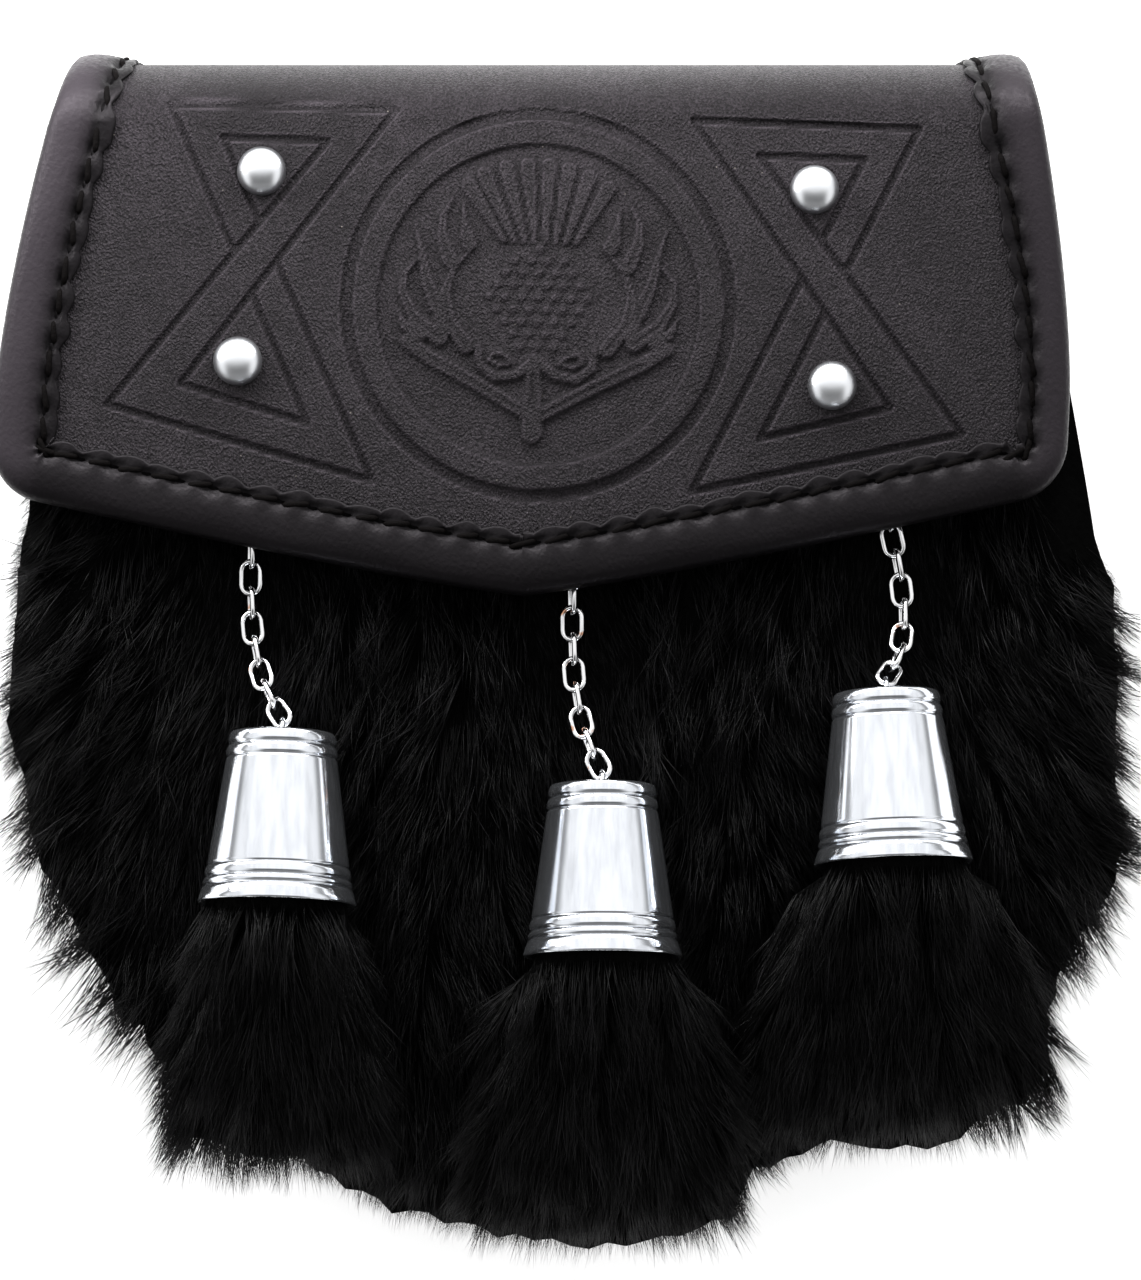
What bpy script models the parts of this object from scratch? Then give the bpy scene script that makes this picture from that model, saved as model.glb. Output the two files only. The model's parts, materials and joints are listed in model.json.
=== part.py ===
"""A sporran pouch lying on its back: a leather pouch with a long-haired front, a bound and studded
flap folded over its top, and three bell-headed fur tassels on short chains.

+X is to the right of the front, +Y towards the top of the pouch and +Z out of the front. The origin
is on the surface that the pouch lies on, under the middle of its box. Lengths are in metres.
"""

import math

import bmesh
import bpy
from mathutils import Matrix, Vector

MM = 0.001
GAP = 0.3 * MM  # the clearance between pieces that touch

# Pouch body. Heights along Y are counted from the middle of the front.
POUCH_TOP_WIDTH = 166 * MM
POUCH_WIDTH = 190 * MM
POUCH_TOP = 93 * MM
POUCH_WIDEST = -10 * MM
POUCH_BOTTOM = -93 * MM
POUCH_ROUNDNESS = 2.2  # 2 is an ellipse, more is squarer
PANEL_THICKNESS = 2.2 * MM
GUSSET_DEPTH = 21.6 * MM
GUSSET_WALL = 2 * MM
GUSSET_INSET = 2.5 * MM
GUSSET_FOLD = 3 * MM
GUSSET_CREASE = (
    {"depth": 0.00, "fold": 0.0},
    {"depth": 0.15, "fold": 0.0},
    {"depth": 0.50, "fold": 1.0},
    {"depth": 0.85, "fold": 0.0},
    {"depth": 1.00, "fold": 0.0},
)
CROWN = 4 * MM

# Belt loops on the back
LOOP_WIDTH = 22 * MM
LOOP_THICKNESS = 2.2 * MM
LOOP_SLOT = 5 * MM
LOOP_SPACING = 76 * MM
LOOP_TOP = 68 * MM
LOOP_RUN = 34 * MM
LOOP_PAD = 8 * MM
LOOP_RAMP = 4 * MM

# Flap and its binding
FLAP_TOP_WIDTH = 166 * MM
FLAP_WIDTH = 185.6 * MM
FLAP_WIDEST = 45 * MM
FLAP_CENTRE = -3.7 * MM
FLAP_LEAN = 0.05  # sideways shift to the left for each unit down
FLAP_TIP = 12.2 * MM
FLAP_CORNER = 37.5 * MM
FLAP_CORNER_RADIUS = 9 * MM
FLAP_EDGE_POWER = 1.15
FLAP_THICKNESS = 2.4 * MM
FLAP_STANDOFF = 7.5 * MM
FOLD_REACH = 12 * MM
APRON_LENGTH = 22 * MM
BINDING_WIDTH = 7.4 * MM
BINDING_WIDTH_RIGHT = 5.2 * MM
BINDING_BACK_WIDTH = 5 * MM
BINDING_THICKNESS = 1.2 * MM
BINDING_ROUND = 0.6 * MM

# Studs and the hidden fastener
STUD_RADIUS = 4 * MM
STUD_HEIGHT = 3 * MM
STUD_RIM = 0.5 * MM
STUDS = (
    {"name": "stud_upper_left", "x": -54.1 * MM, "y": 85.1 * MM},
    {"name": "stud_lower_left", "x": -58.2 * MM, "y": 51.8 * MM},
    {"name": "stud_upper_right", "x": 42.7 * MM, "y": 81.8 * MM},
    {"name": "stud_lower_right", "x": 45.7 * MM, "y": 47.5 * MM},
)
SNAP_RADIUS = 6 * MM
SNAP_X = -7 * MM
SNAP_Y = 48 * MM

# Fur on the front
FUR_PILE = 7.6 * MM
FUR_EDGE = 1 * MM
FUR_UNDER_FLAP = 5.2 * MM
FUR_UNDER_TASSEL = 3 * MM
FUR_UNDER_HANGER = 1 * MM
FUR_OVERHANG = 2.5 * MM
FUR_TUFT = 6 * MM
FUR_LOCK_DEPTH = 0.12
FUR_COMB = 0.5  # how much the tufts at the edge turn down, against straight out
FUR_EDGE_CROWDING = 0.93  # 1 sets the columns closest together at the sides
FUR_COLUMNS = 24
FUR_ROWS = 22

# Chains
LINK_LENGTH = 6.7 * MM
LINK_WIDTH = 4.4 * MM
LINK_WIRE = 0.95 * MM
LINK_ROLL_FACE = 12  # degrees that a link lying flat is rolled
LINK_ROLL_EDGE = 78  # degrees that a link standing on edge is rolled
CHAIN_LEVEL_SHARE = 0.2  # share of a chain that runs level before it climbs to its bell
HANGER_WIRE = 1.1 * MM
HANGER_WIDTH = 5.5 * MM
HANGER_REACH = 4.4 * MM
HANGER_BLOCK_WIDTH = 9 * MM
HANGER_BLOCK_LENGTH = 5 * MM
HANGER_BLOCK_HEIGHT = 3 * MM

# Bells
CONE_LENGTH = 30 * MM
CONE_TOP_RADIUS = 9 * MM
CONE_BASE_RADIUS = 13.3 * MM
CONE_WALL = 0.9 * MM
CONE_BEAD = 0.5 * MM
EYE_WIRE = 1 * MM
EYE_HEIGHT = 2.4 * MM
EYE_WIDTH = 5.4 * MM
PLUG_SHARE = 0.5  # share of the bell's length that the tassel's plug fills
CONE_RINGS = (
    {"down": 0.00, "bead": -0.8},
    {"down": 0.03, "bead": 1.0},
    {"down": 0.08, "bead": 0.0},
    {"down": 0.13, "bead": 1.0},
    {"down": 0.18, "bead": 0.0},
    {"down": 0.77, "bead": 0.0},
    {"down": 0.80, "bead": 0.9},
    {"down": 0.83, "bead": 0.4},
    {"down": 0.86, "bead": 1.0},
    {"down": 0.89, "bead": 0.2},
    {"down": 0.94, "bead": 1.1},
    {"down": 1.00, "bead": 1.0},
)

# One row for each tassel: where its hanger's bar is, how its chain leans in degrees at the start, the
# middle and the end, and how its bell and fur lie.
TASSELS = (
    {"side": "left", "x": -56.0 * MM, "y": 29.0 * MM, "links": 10, "lean": (0, 4, 36),
     "cone_lean": -1.5, "width": 36 * MM, "length": 49 * MM},
    {"side": "centre", "x": -0.1 * MM, "y": 20.9 * MM, "links": 10, "lean": (4, 3, 30),
     "cone_lean": 0.0, "width": 47 * MM, "length": 52 * MM},
    {"side": "right", "x": 55.4 * MM, "y": 26.5 * MM, "links": 8, "lean": (12, 3, -36),
     "cone_lean": 2.0, "width": 52 * MM, "length": 51 * MM},
)
TASSEL_THICKNESS = 22 * MM
TASSEL_LOCKS = 12
TASSEL_LOCK_DEPTH = 0.07
TASSEL_TUFT = 0.09  # how far a lock's tip and notch stand from the end, as a share of the length
TASSEL_SECTIONS = (
    {"along": 0.10, "width": 0.66, "thickness": 1.05},
    {"along": 0.30, "width": 0.80, "thickness": 1.00},
    {"along": 0.55, "width": 0.94, "thickness": 0.90},
    {"along": 0.78, "width": 1.00, "thickness": 0.66},
    {"along": 0.96, "width": 0.94, "thickness": 0.24},
)

# Heights of the layers above the surface
BACK_FACE = LOOP_THICKNESS + LOOP_SLOT + GAP
GUSSET_BACK = BACK_FACE + PANEL_THICKNESS + GAP
FRONT_FACE = GUSSET_BACK + GUSSET_DEPTH + GAP + PANEL_THICKNESS
FLAP_FACE = FRONT_FACE + FLAP_STANDOFF + FLAP_THICKNESS
APRON_FACE = BACK_FACE - GAP - FLAP_THICKNESS
FOLD_START = POUCH_TOP + 2 * GAP
UP = Vector((0, 0, 1))


def smooth(share):
    """0 to 1 with level ends."""
    share = min(1.0, max(0.0, share))
    return share * share * (3 - 2 * share)


def mix(start, end, share):
    return start + (end - start) * share


def pouch_half_width(y):
    share = (POUCH_TOP - y) / (POUCH_TOP - POUCH_WIDEST)
    return mix(POUCH_TOP_WIDTH, POUCH_WIDTH, smooth(share)) / 2


def pouch_low_edge(x):
    share = min(1.0, abs(x) / (POUCH_WIDTH / 2))
    arch = (1 - share ** POUCH_ROUNDNESS) ** (1 / POUCH_ROUNDNESS)
    return mix(POUCH_WIDEST, POUCH_BOTTOM, arch)


def pouch_point(across, down):
    """A point of the front's outline plane: across -1 to 1, down 0 at the top to 1 at the edge."""
    low = pouch_low_edge(across * POUCH_WIDTH / 2)
    y = mix(POUCH_TOP, low, down)
    return across * pouch_half_width(y), y


def crown(x, y):
    """How far the front stands out of its flat outline."""
    across = min(1.0, abs(x) / pouch_half_width(y))
    down = (POUCH_TOP - y) / (POUCH_TOP - pouch_low_edge(x))
    down = min(1.0, max(0.0, down))
    return CROWN * (1 - across ** 2) ** 2 * (1 - (2 * down - 1) ** 4)


def front_height(x, y):
    return FRONT_FACE + crown(x, y)


def flap_half_width(y):
    share = (FOLD_START + FOLD_REACH - y) / (FOLD_START + FOLD_REACH - FLAP_WIDEST)
    share = min(1.0, max(0.0, share))
    return mix(FLAP_TOP_WIDTH, FLAP_WIDTH, 1 - (1 - share) ** 1.5) / 2


def flap_centre(y):
    return FLAP_CENTRE - FLAP_LEAN * (FOLD_START + FOLD_REACH - y)


def flap_height(x, y):
    """The flap's outer face."""
    return front_height(x, y) + FLAP_STANDOFF + FLAP_THICKNESS


def flap_corner():
    """The corner arc's centre and the angle by which the lower edge slopes where it leaves it."""
    centre_x = FLAP_WIDTH / 2 - FLAP_CORNER_RADIUS
    rise = FLAP_CORNER - FLAP_CORNER_RADIUS - FLAP_TIP
    return centre_x, math.atan(FLAP_EDGE_POWER * rise / centre_x)


def flap_low_edge(x):
    """Height of the flap's lower edge at a distance x from its centre line."""
    centre_x, slope = flap_corner()
    end_x = centre_x + FLAP_CORNER_RADIUS * math.sin(slope)
    end_y = FLAP_CORNER - FLAP_CORNER_RADIUS * math.cos(slope)
    x = abs(x)
    if x <= end_x:
        return mix(FLAP_TIP, end_y, (x / end_x) ** FLAP_EDGE_POWER)
    out = min(FLAP_CORNER_RADIUS, x - centre_x)
    return FLAP_CORNER - math.sqrt(FLAP_CORNER_RADIUS ** 2 - out ** 2)


def flap_edge_points():
    """Half of the lower outline, from the tip to the side: (distance from the centre line, height)."""
    centre_x, slope = flap_corner()
    end_x = centre_x + FLAP_CORNER_RADIUS * math.sin(slope)
    bottom_steps, arc_steps = 6, 4
    points = [(end_x * step / bottom_steps, flap_low_edge(end_x * step / bottom_steps))
              for step in range(bottom_steps)]
    for step in range(arc_steps + 1):
        angle = mix(slope - math.pi / 2, 0, step / arc_steps)
        points.append((centre_x + FLAP_CORNER_RADIUS * math.cos(angle),
                       FLAP_CORNER + FLAP_CORNER_RADIUS * math.sin(angle)))
    return points


def material(name, colour, roughness, metallic=0.0):
    made = bpy.data.materials.new(name)
    made.use_nodes = True
    shader = made.node_tree.nodes["Principled BSDF"]
    shader.inputs["Base Color"].default_value = (*colour, 1)
    shader.inputs["Roughness"].default_value = roughness
    shader.inputs["Metallic"].default_value = metallic
    return made


def add_object(name, data, finish, collection, root):
    data.materials.clear()
    data.materials.append(finish)
    made = bpy.data.objects.new(name, data)
    made.parent = root
    collection.objects.link(made)
    return made


def grid_mesh(name, rows, turned=False):
    """An open surface through rows of points."""
    mesh = bpy.data.meshes.new(name)
    count = len(rows[0])
    points = [point for row in rows for point in row]
    faces = []
    for row in range(len(rows) - 1):
        for step in range(count - 1):
            first = row * count + step
            face = (first, first + 1, first + count + 1, first + count)
            faces.append(face[::-1] if turned else face)
    mesh.from_pydata(points, [], faces)
    return mesh


def add_wall(owner, thickness):
    """Gives an open surface its thickness, behind the side that it faces."""
    wall = owner.modifiers.new("wall", "SOLIDIFY")
    wall.thickness = thickness
    wall.offset = -1
    wall.use_even_offset = True


def loft_mesh(name, rings, end_point=None):
    """A closed body through rings of points, with flat ends or a last ring closed on one point."""
    mesh = bpy.data.meshes.new(name)
    count = len(rings[0])
    points = [point for ring in rings for point in ring]
    faces = [tuple(range(count))[::-1]]
    for ring in range(len(rings) - 1):
        for step in range(count):
            first, second = ring * count + step, ring * count + (step + 1) % count
            faces.append((first, second, second + count, first + count))
    last = (len(rings) - 1) * count
    if end_point is None:
        faces.append(tuple(range(last, last + count)))
    else:
        points.append(end_point)
        faces += [(last + step, last + (step + 1) % count, len(points) - 1) for step in range(count)]
    mesh.from_pydata(points, [], faces)
    face_out(mesh)
    return mesh


def face_out(mesh):
    """Turns the faces of a closed body outwards and splits them into triangles."""
    work = bmesh.new()
    work.from_mesh(mesh)
    bmesh.ops.recalc_face_normals(work, faces=work.faces)
    bmesh.ops.triangulate(work, faces=work.faces)
    work.to_mesh(mesh)
    work.free()


def shade(mesh):
    mesh.shade_smooth()
    mesh.set_sharp_from_angle(angle=math.radians(40))


def wire_mesh(name, points, wire, closed=False):
    """A wire of six sides along straight stretches between points."""
    curve = bpy.data.curves.new(name, "CURVE")
    curve.dimensions = "3D"
    curve.bevel_depth = wire / 2
    curve.bevel_resolution = 1
    curve.use_fill_caps = not closed
    spline = curve.splines.new("POLY")
    spline.points.add(len(points) - 1)
    for target, point in zip(spline.points, points):
        target.co = (*point, 1)
    spline.use_cyclic_u = closed
    holder = bpy.data.objects.new(name, curve)
    bpy.context.scene.collection.objects.link(holder)
    bpy.context.view_layer.update()
    mesh = bpy.data.meshes.new_from_object(holder.evaluated_get(bpy.context.evaluated_depsgraph_get()))
    bpy.data.objects.remove(holder)
    work = bmesh.new()
    work.from_mesh(mesh)
    bmesh.ops.remove_doubles(work, verts=work.verts, dist=MM / 1000)
    work.to_mesh(mesh)
    work.free()
    face_out(mesh)
    return mesh


def fuse(owner, mesh, cutters):
    """Joins a closed mesh, placed in the owner's own axes, to the owner as one body."""
    tool = bpy.data.objects.new(owner.name + "_fused", mesh)
    tool.parent = owner
    tool.hide_render = True
    tool.display_type = "WIRE"
    cutters.objects.link(tool)
    union = owner.modifiers.new("fused", "BOOLEAN")
    union.operation = "UNION"
    union.object = tool


def turned_object(name, profile, sides, finish, collection, root):
    """A turned piece from a profile of (radius, height) that runs down its outer side."""
    mesh = bpy.data.meshes.new(name)
    points = [(radius, 0, height) for radius, height in profile]
    mesh.from_pydata(points, [(step, step + 1) for step in range(len(points) - 1)], [])
    made = add_object(name, mesh, finish, collection, root)
    screw = made.modifiers.new("turned", "SCREW")
    screw.steps = sides
    screw.render_steps = sides
    screw.use_merge_vertices = True
    screw.merge_threshold = 0.0001
    screw.use_smooth_shade = True
    return made


def placed(origin, x_axis, z_hint):
    """A placing matrix whose X runs along x_axis and whose Z is nearest to z_hint."""
    x_axis = x_axis.normalized()
    z_axis = (z_hint - x_axis * z_hint.dot(x_axis)).normalized()
    y_axis = z_axis.cross(x_axis)
    return Matrix.Translation(origin) @ Matrix((x_axis, y_axis, z_axis)).transposed().to_4x4()


def make_back_panel(finish, collection, root):
    """The flat back, cut to the pouch's outline."""
    curve = bpy.data.curves.new("back_outline", "CURVE")
    curve.dimensions = "2D"
    curve.fill_mode = "BOTH"
    curve.extrude = PANEL_THICKNESS / 2
    outline = pouch_outline(side_steps=8, bottom_steps=26)
    spline = curve.splines.new("POLY")
    spline.points.add(len(outline) - 1)
    for target, (x, y) in zip(spline.points, outline):
        target.co = (x, y, 0, 1)
    spline.use_cyclic_u = True
    made = add_object("back_panel", curve, finish, collection, root)
    made.location.z = BACK_FACE + PANEL_THICKNESS / 2


def pouch_outline(side_steps, bottom_steps):
    """The outline from the top left corner, down, round the bottom and up to the top right."""
    heights = [mix(POUCH_TOP, POUCH_WIDEST, step / side_steps) for step in range(side_steps)]
    left = [(-pouch_half_width(y), y) for y in heights]
    right = [(pouch_half_width(y), y) for y in reversed(heights)]
    bottom = []
    for step in range(bottom_steps + 1):
        x = -math.cos(math.pi * step / bottom_steps) * POUCH_WIDTH / 2
        bottom.append((x, pouch_low_edge(x)))
    return left + bottom + right


def make_gusset(finish, collection, root):
    """The strip round the sides and bottom, creased inwards along its middle."""
    outline = [Vector(point) for point in pouch_outline(side_steps=6, bottom_steps=22)]
    rows = []
    for crease in GUSSET_CREASE:
        inwards = GUSSET_INSET + GUSSET_FOLD * crease["fold"]
        height = GUSSET_BACK + GUSSET_DEPTH * crease["depth"]
        points = []
        for step, point in enumerate(outline):
            before = outline[max(0, step - 1)]
            after = outline[min(len(outline) - 1, step + 1)]
            along = (after - before).normalized()
            points.append((point.x - along.y * inwards, point.y + along.x * inwards, height))
        rows.append(points)
    made = add_object("gusset", grid_mesh("gusset", rows), finish, collection, root)
    add_wall(made, GUSSET_WALL)


def make_front_panel(finish, collection, root):
    """The crowned leather under the fur."""
    columns, lines = 14, 12
    rows = []
    for line in range(lines + 1):
        points = []
        for column in range(columns + 1):
            across = math.sin(math.pi * (column / columns - 0.5))
            x, y = pouch_point(across, line / lines)
            points.append((x, y, front_height(x, y)))
        rows.append(points)
    made = add_object("front_panel", grid_mesh("front_panel", rows, True), finish, collection, root)
    add_wall(made, PANEL_THICKNESS)


def make_belt_loop(name, side, finish, collection, root):
    """A strap sewn down at both ends and in the middle, which leaves two slots."""
    marks = [(0, LOOP_SLOT)]
    for _ in range(2):
        start = marks[-1][0]
        marks += [(start + LOOP_PAD, LOOP_SLOT),
                  (start + LOOP_PAD + LOOP_RAMP, 0),
                  (start + LOOP_PAD + LOOP_RAMP + LOOP_RUN, 0),
                  (start + LOOP_PAD + 2 * LOOP_RAMP + LOOP_RUN, LOOP_SLOT)]
    marks.append((marks[-1][0] + LOOP_PAD, LOOP_SLOT))
    middle = side * LOOP_SPACING / 2
    rows = [[(middle - LOOP_WIDTH / 2, LOOP_TOP - down, height),
             (middle + LOOP_WIDTH / 2, LOOP_TOP - down, height)] for down, height in marks]
    made = add_object(name, grid_mesh(name, rows), finish, collection, root)
    add_wall(made, LOOP_THICKNESS)


def flap_fold(angle):
    """Height along Y and height above the surface of the fold, from 0 at the front to pi behind."""
    middle = (FLAP_FACE + APRON_FACE) / 2
    half = (FLAP_FACE - APRON_FACE) / 2
    return FOLD_START + FOLD_REACH * math.sin(angle), middle + half * math.cos(angle)


def make_flap(finish, collection, root):
    """The cover: its front, the fold over the top and the apron lapped on the back."""
    half = flap_edge_points()
    edge = [(-x, y) for x, y in reversed(half[1:])] + half
    front_rows, fold_rows, apron_rows = 9, 7, 2
    rows = []
    for row in range(front_rows):
        points = []
        for x_end, y_end in edge:
            y = mix(y_end, FOLD_START, row / front_rows)
            x = x_end / flap_half_width(y_end) * flap_half_width(y) + flap_centre(y)
            points.append((x, y, flap_height(x, y)))
        rows.append(points)
    shares = [x_end / flap_half_width(y_end) for x_end, y_end in edge]
    for row in range(fold_rows + 1):
        y, height = flap_fold(math.pi * row / fold_rows)
        rows.append([(share * flap_half_width(y) + flap_centre(y), y, height) for share in shares])
    for row in range(1, apron_rows + 1):
        y = FOLD_START - APRON_LENGTH * row / apron_rows
        half_width, centre = flap_half_width(FOLD_START), flap_centre(FOLD_START)
        rows.append([(share * half_width + centre, y, APRON_FACE) for share in shares])
    made = add_object("flap", grid_mesh("flap", rows), finish, collection, root)
    add_wall(made, FLAP_THICKNESS)


def binding_route():
    """Stations along the flap's edge from behind the fold on the left, round to the right, with the
    flap's outward normal, the binding's width on the face and, on the fold, the way inwards."""
    fold_steps, side_steps = 7, 7
    fold_half = (FLAP_FACE - APRON_FACE) / 2
    half = flap_edge_points()
    left = []
    for step in range(fold_steps, -1, -1):
        angle = math.pi * step / fold_steps
        y, height = flap_fold(angle)
        normal = Vector((0, math.sin(angle) / FOLD_REACH, math.cos(angle) / fold_half)).normalized()
        left.append({"x": -flap_half_width(y), "y": y, "height": height, "normal": normal, "inwards": 1})
    for step in range(1, side_steps):
        y = mix(FOLD_START, half[-1][1], step / side_steps)
        left.append({"x": -flap_half_width(y), "y": y})
    left += [{"x": -x, "y": y} for x, y in reversed(half[1:])]
    right = [dict(station, x=-station["x"], inwards=-station.get("inwards", 0))
             for station in reversed(left)]
    corner_x, slope = flap_corner()
    stations = left + [{"x": half[0][0], "y": half[0][1]}] + right
    for station in stations:
        share = smooth((station["x"] - corner_x) / FLAP_CORNER_RADIUS)
        station["width"] = mix(BINDING_WIDTH, BINDING_WIDTH_RIGHT, share)
        x = station["x"] + flap_centre(station["y"])
        if "height" not in station:
            station["height"] = flap_height(x, station["y"])
            station["normal"] = surface_normal(flap_height, x, station["y"])
        station["point"] = Vector((x, station["y"], station["height"]))
    return stations


def binding_section(width):
    """The U-shaped section as (distance inwards from the flap's edge, height above its face)."""
    outer = GAP + BINDING_THICKNESS
    back = -FLAP_THICKNESS - GAP
    behind = back - BINDING_THICKNESS
    return ((width, outer), (BINDING_ROUND - outer, outer), (-outer, outer - BINDING_ROUND),
            (-outer, behind + BINDING_ROUND), (BINDING_ROUND - outer, behind),
            (BINDING_BACK_WIDTH, behind), (BINDING_BACK_WIDTH, back),
            (-GAP, back), (-GAP, GAP), (width, GAP))


def make_binding(finish, collection, root):
    """A strip wrapped round the flap's edge, drawn along it as a U-shaped section."""
    stations = binding_route()
    points = [station["point"] for station in stations]
    rings = []
    for step, station in enumerate(stations):
        before = points[max(0, step - 1)]
        after = points[min(len(points) - 1, step + 1)]
        arriving = (points[step] - before).normalized()
        leaving = (after - points[step]).normalized()
        along = (arriving + leaving).normalized()
        inwards = station["normal"].cross(along).normalized()
        inwards /= max(0.8, math.sqrt((1 + arriving.dot(leaving)) / 2)) if before != after else 1
        if station.get("inwards"):
            inwards = Vector((station["inwards"], 0, 0))
        rings.append([points[step] + inwards * side + station["normal"] * rise
                      for side, rise in binding_section(station["width"])])
    add_object("flap_binding", loft_mesh("flap_binding", rings), finish, collection, root)


def surface_normal(height_at, x, y):
    step = MM
    slope_x = (height_at(x + step, y) - height_at(x - step, y)) / (2 * step)
    slope_y = (height_at(x, y + step) - height_at(x, y - step)) / (2 * step)
    return Vector((-slope_x, -slope_y, 1)).normalized()


def make_studs(finish, collection, root):
    """Domed studs seated on the flap."""
    dome_steps = 4
    profile = []
    for step in range(dome_steps + 1):
        angle = math.pi / 2 * (1 - step / dome_steps)
        rise = (STUD_HEIGHT - STUD_RIM) * math.sin(angle)
        profile.append((STUD_RADIUS * math.cos(angle), STUD_RIM + rise))
    profile += [(STUD_RADIUS, 0), (0, 0)]
    profile[0] = (0, STUD_HEIGHT)
    for row in STUDS:
        made = turned_object(row["name"], profile, 14, finish, collection, root)
        normal = surface_normal(flap_height, row["x"], row["y"])
        seat = Vector((row["x"], row["y"], flap_height(row["x"], row["y"]))) + normal * GAP
        made.matrix_local = placed(seat, Vector((1, 0, 0)), normal)


def make_snap(finish, collection, root):
    """The hidden fastener, between the flap and the fur that it presses flat."""
    thickness = FLAP_STANDOFF - FUR_UNDER_FLAP - 2 * GAP
    profile = [(0, thickness), (SNAP_RADIUS, thickness), (SNAP_RADIUS, 0), (0, 0)]
    made = turned_object("flap_snap", profile, 14, finish, collection, root)
    normal = surface_normal(front_height, SNAP_X, SNAP_Y)
    seat = Vector((SNAP_X, SNAP_Y, front_height(SNAP_X, SNAP_Y)))
    made.matrix_local = placed(seat + normal * (FUR_UNDER_FLAP + GAP), Vector((1, 0, 0)), normal)


def link_points():
    """The centre line of an oval link, long along X."""
    radius = (LINK_WIDTH - LINK_WIRE) / 2
    straight = (LINK_LENGTH - LINK_WIDTH) / 2
    end_steps = 4
    points = []
    for end in (1, -1):
        for step in range(end_steps + 1):
            angle = math.pi * (step / end_steps - 0.5)
            points.append((end * (straight + radius * math.cos(angle)), end * radius * math.sin(angle), 0))
    return points


def three_way(values, share):
    """A smooth curve through a start, a middle and an end value."""
    start, middle, end = values
    bend = 2 * start - 4 * middle + 2 * end
    return start + (4 * middle - 3 * start - end) * share + bend * share ** 2


def hanging_bar(row):
    """The middle of the hanger's bar, at the height at which an upright link clears the fur."""
    base = front_height(row["x"], row["y"])
    return Vector((row["x"], row["y"], base + FUR_UNDER_HANGER + GAP + LINK_WIDTH / 2))


def chain_links(row, climb):
    """The links' middles and directions, and the bar that the last one holds, for one climb angle."""
    reach = LINK_LENGTH / 2 - LINK_WIRE - GAP
    pitch = LINK_LENGTH - 2 * LINK_WIRE - GAP
    directions = []
    for number in range(row["links"]):
        share = number / (row["links"] - 1)
        lean = math.radians(three_way(row["lean"], share))
        rise = climb * smooth((share - CHAIN_LEVEL_SHARE) / (1 - CHAIN_LEVEL_SHARE))
        flat = Vector((math.sin(lean), -math.cos(lean), 0))
        directions.append(flat * math.cos(rise) + UP * math.sin(rise))
    middle = hanging_bar(row) + directions[0] * (reach - HANGER_WIRE / 2)
    middles = [middle]
    for before, after in zip(directions, directions[1:]):
        middle = middle + (before + after) * pitch / 2
        middles.append(middle)
    return middles, directions, middle + directions[-1] * (reach - EYE_WIRE / 2)


def cone_taper():
    return math.atan((CONE_BASE_RADIUS - CONE_TOP_RADIUS) / CONE_LENGTH)


def cone_axis(row):
    """The direction from a bell's top to its mouth, tilted so that it lies along its lower side."""
    lean = math.radians(row["cone_lean"])
    flat = Vector((math.sin(lean), -math.cos(lean), 0))
    return flat * math.cos(cone_taper()) + UP * math.sin(cone_taper())


def lying_height(row, eye):
    """The height of the pressed fur that a bell and its tassel lie on."""
    axis = cone_axis(row)
    highest = 0
    for along in range(0, 5):
        for side in (-0.5, 0, 0.5):
            share = along / 4
            spot = eye + axis * (CONE_LENGTH + row["length"] * 0.7) * share
            spot_x = spot.x + side * mix(2 * CONE_TOP_RADIUS, row["width"], share)
            highest = max(highest, front_height(spot_x, spot.y))
    return highest + FUR_UNDER_TASSEL + 2 * GAP


def bell_radius():
    return CONE_BASE_RADIUS + CONE_BEAD


def solve_chain(row):
    """Finds the climb that ends the chain at the eye of a bell lying on the fur."""
    low, high = 0.0, 1.2
    for _ in range(30):
        climb = (low + high) / 2
        middles, directions, eye = chain_links(row, climb)
        top_radius = CONE_TOP_RADIUS + CONE_BEAD
        wanted = lying_height(row, eye) + top_radius / math.cos(cone_taper())
        wanted -= EYE_HEIGHT * math.sin(cone_taper())
        if eye.z < wanted:
            low = climb
        else:
            high = climb
    return middles, directions, eye


def make_chain(row, mesh, collection, root):
    """One node for each link, turned by turns flat and on edge."""
    middles, directions, eye = solve_chain(row)
    for number, (middle, along) in enumerate(zip(middles, directions)):
        roll = LINK_ROLL_EDGE if number % 2 == 0 else LINK_ROLL_FACE
        name = f"link_{row['side']}_{number + 1:02d}"
        made = bpy.data.objects.new(name, mesh)
        made.parent = root
        turned = Matrix.Rotation(math.radians(roll), 4, "X")
        made.matrix_local = placed(middle, along, UP) @ turned
        collection.objects.link(made)


def make_hanger(row, finish, collection, cutters, root):
    """A block fixed to the front with a wire loop that the first link holds."""
    name = f"chain_hanger_{row['side']}"
    mesh = bpy.data.meshes.new(name)
    work = bmesh.new()
    size = Vector((HANGER_BLOCK_WIDTH, HANGER_BLOCK_LENGTH, HANGER_BLOCK_HEIGHT))
    bmesh.ops.create_cube(work, size=1, matrix=Matrix.Diagonal(size).to_4x4())
    work.to_mesh(mesh)
    work.free()
    made = add_object(name, mesh, finish, collection, root)
    bar = hanging_bar(row)
    seat = front_height(row["x"], row["y"]) + FUR_UNDER_HANGER + GAP
    middle_y = bar.y + HANGER_REACH + HANGER_BLOCK_LENGTH / 2
    made.location = (bar.x, middle_y, seat + HANGER_BLOCK_HEIGHT / 2)
    drop = bar - made.location
    half = HANGER_WIDTH / 2 - HANGER_WIRE / 2
    inside = HANGER_BLOCK_LENGTH / 4
    corner = HANGER_WIRE
    route = [(-half, -inside, drop.z), (-half, drop.y + corner, drop.z), (corner - half, drop.y, drop.z),
             (half - corner, drop.y, drop.z), (half, drop.y + corner, drop.z), (half, -inside, drop.z)]
    fuse(made, wire_mesh(name + "_loop", route, HANGER_WIRE), cutters)


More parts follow.
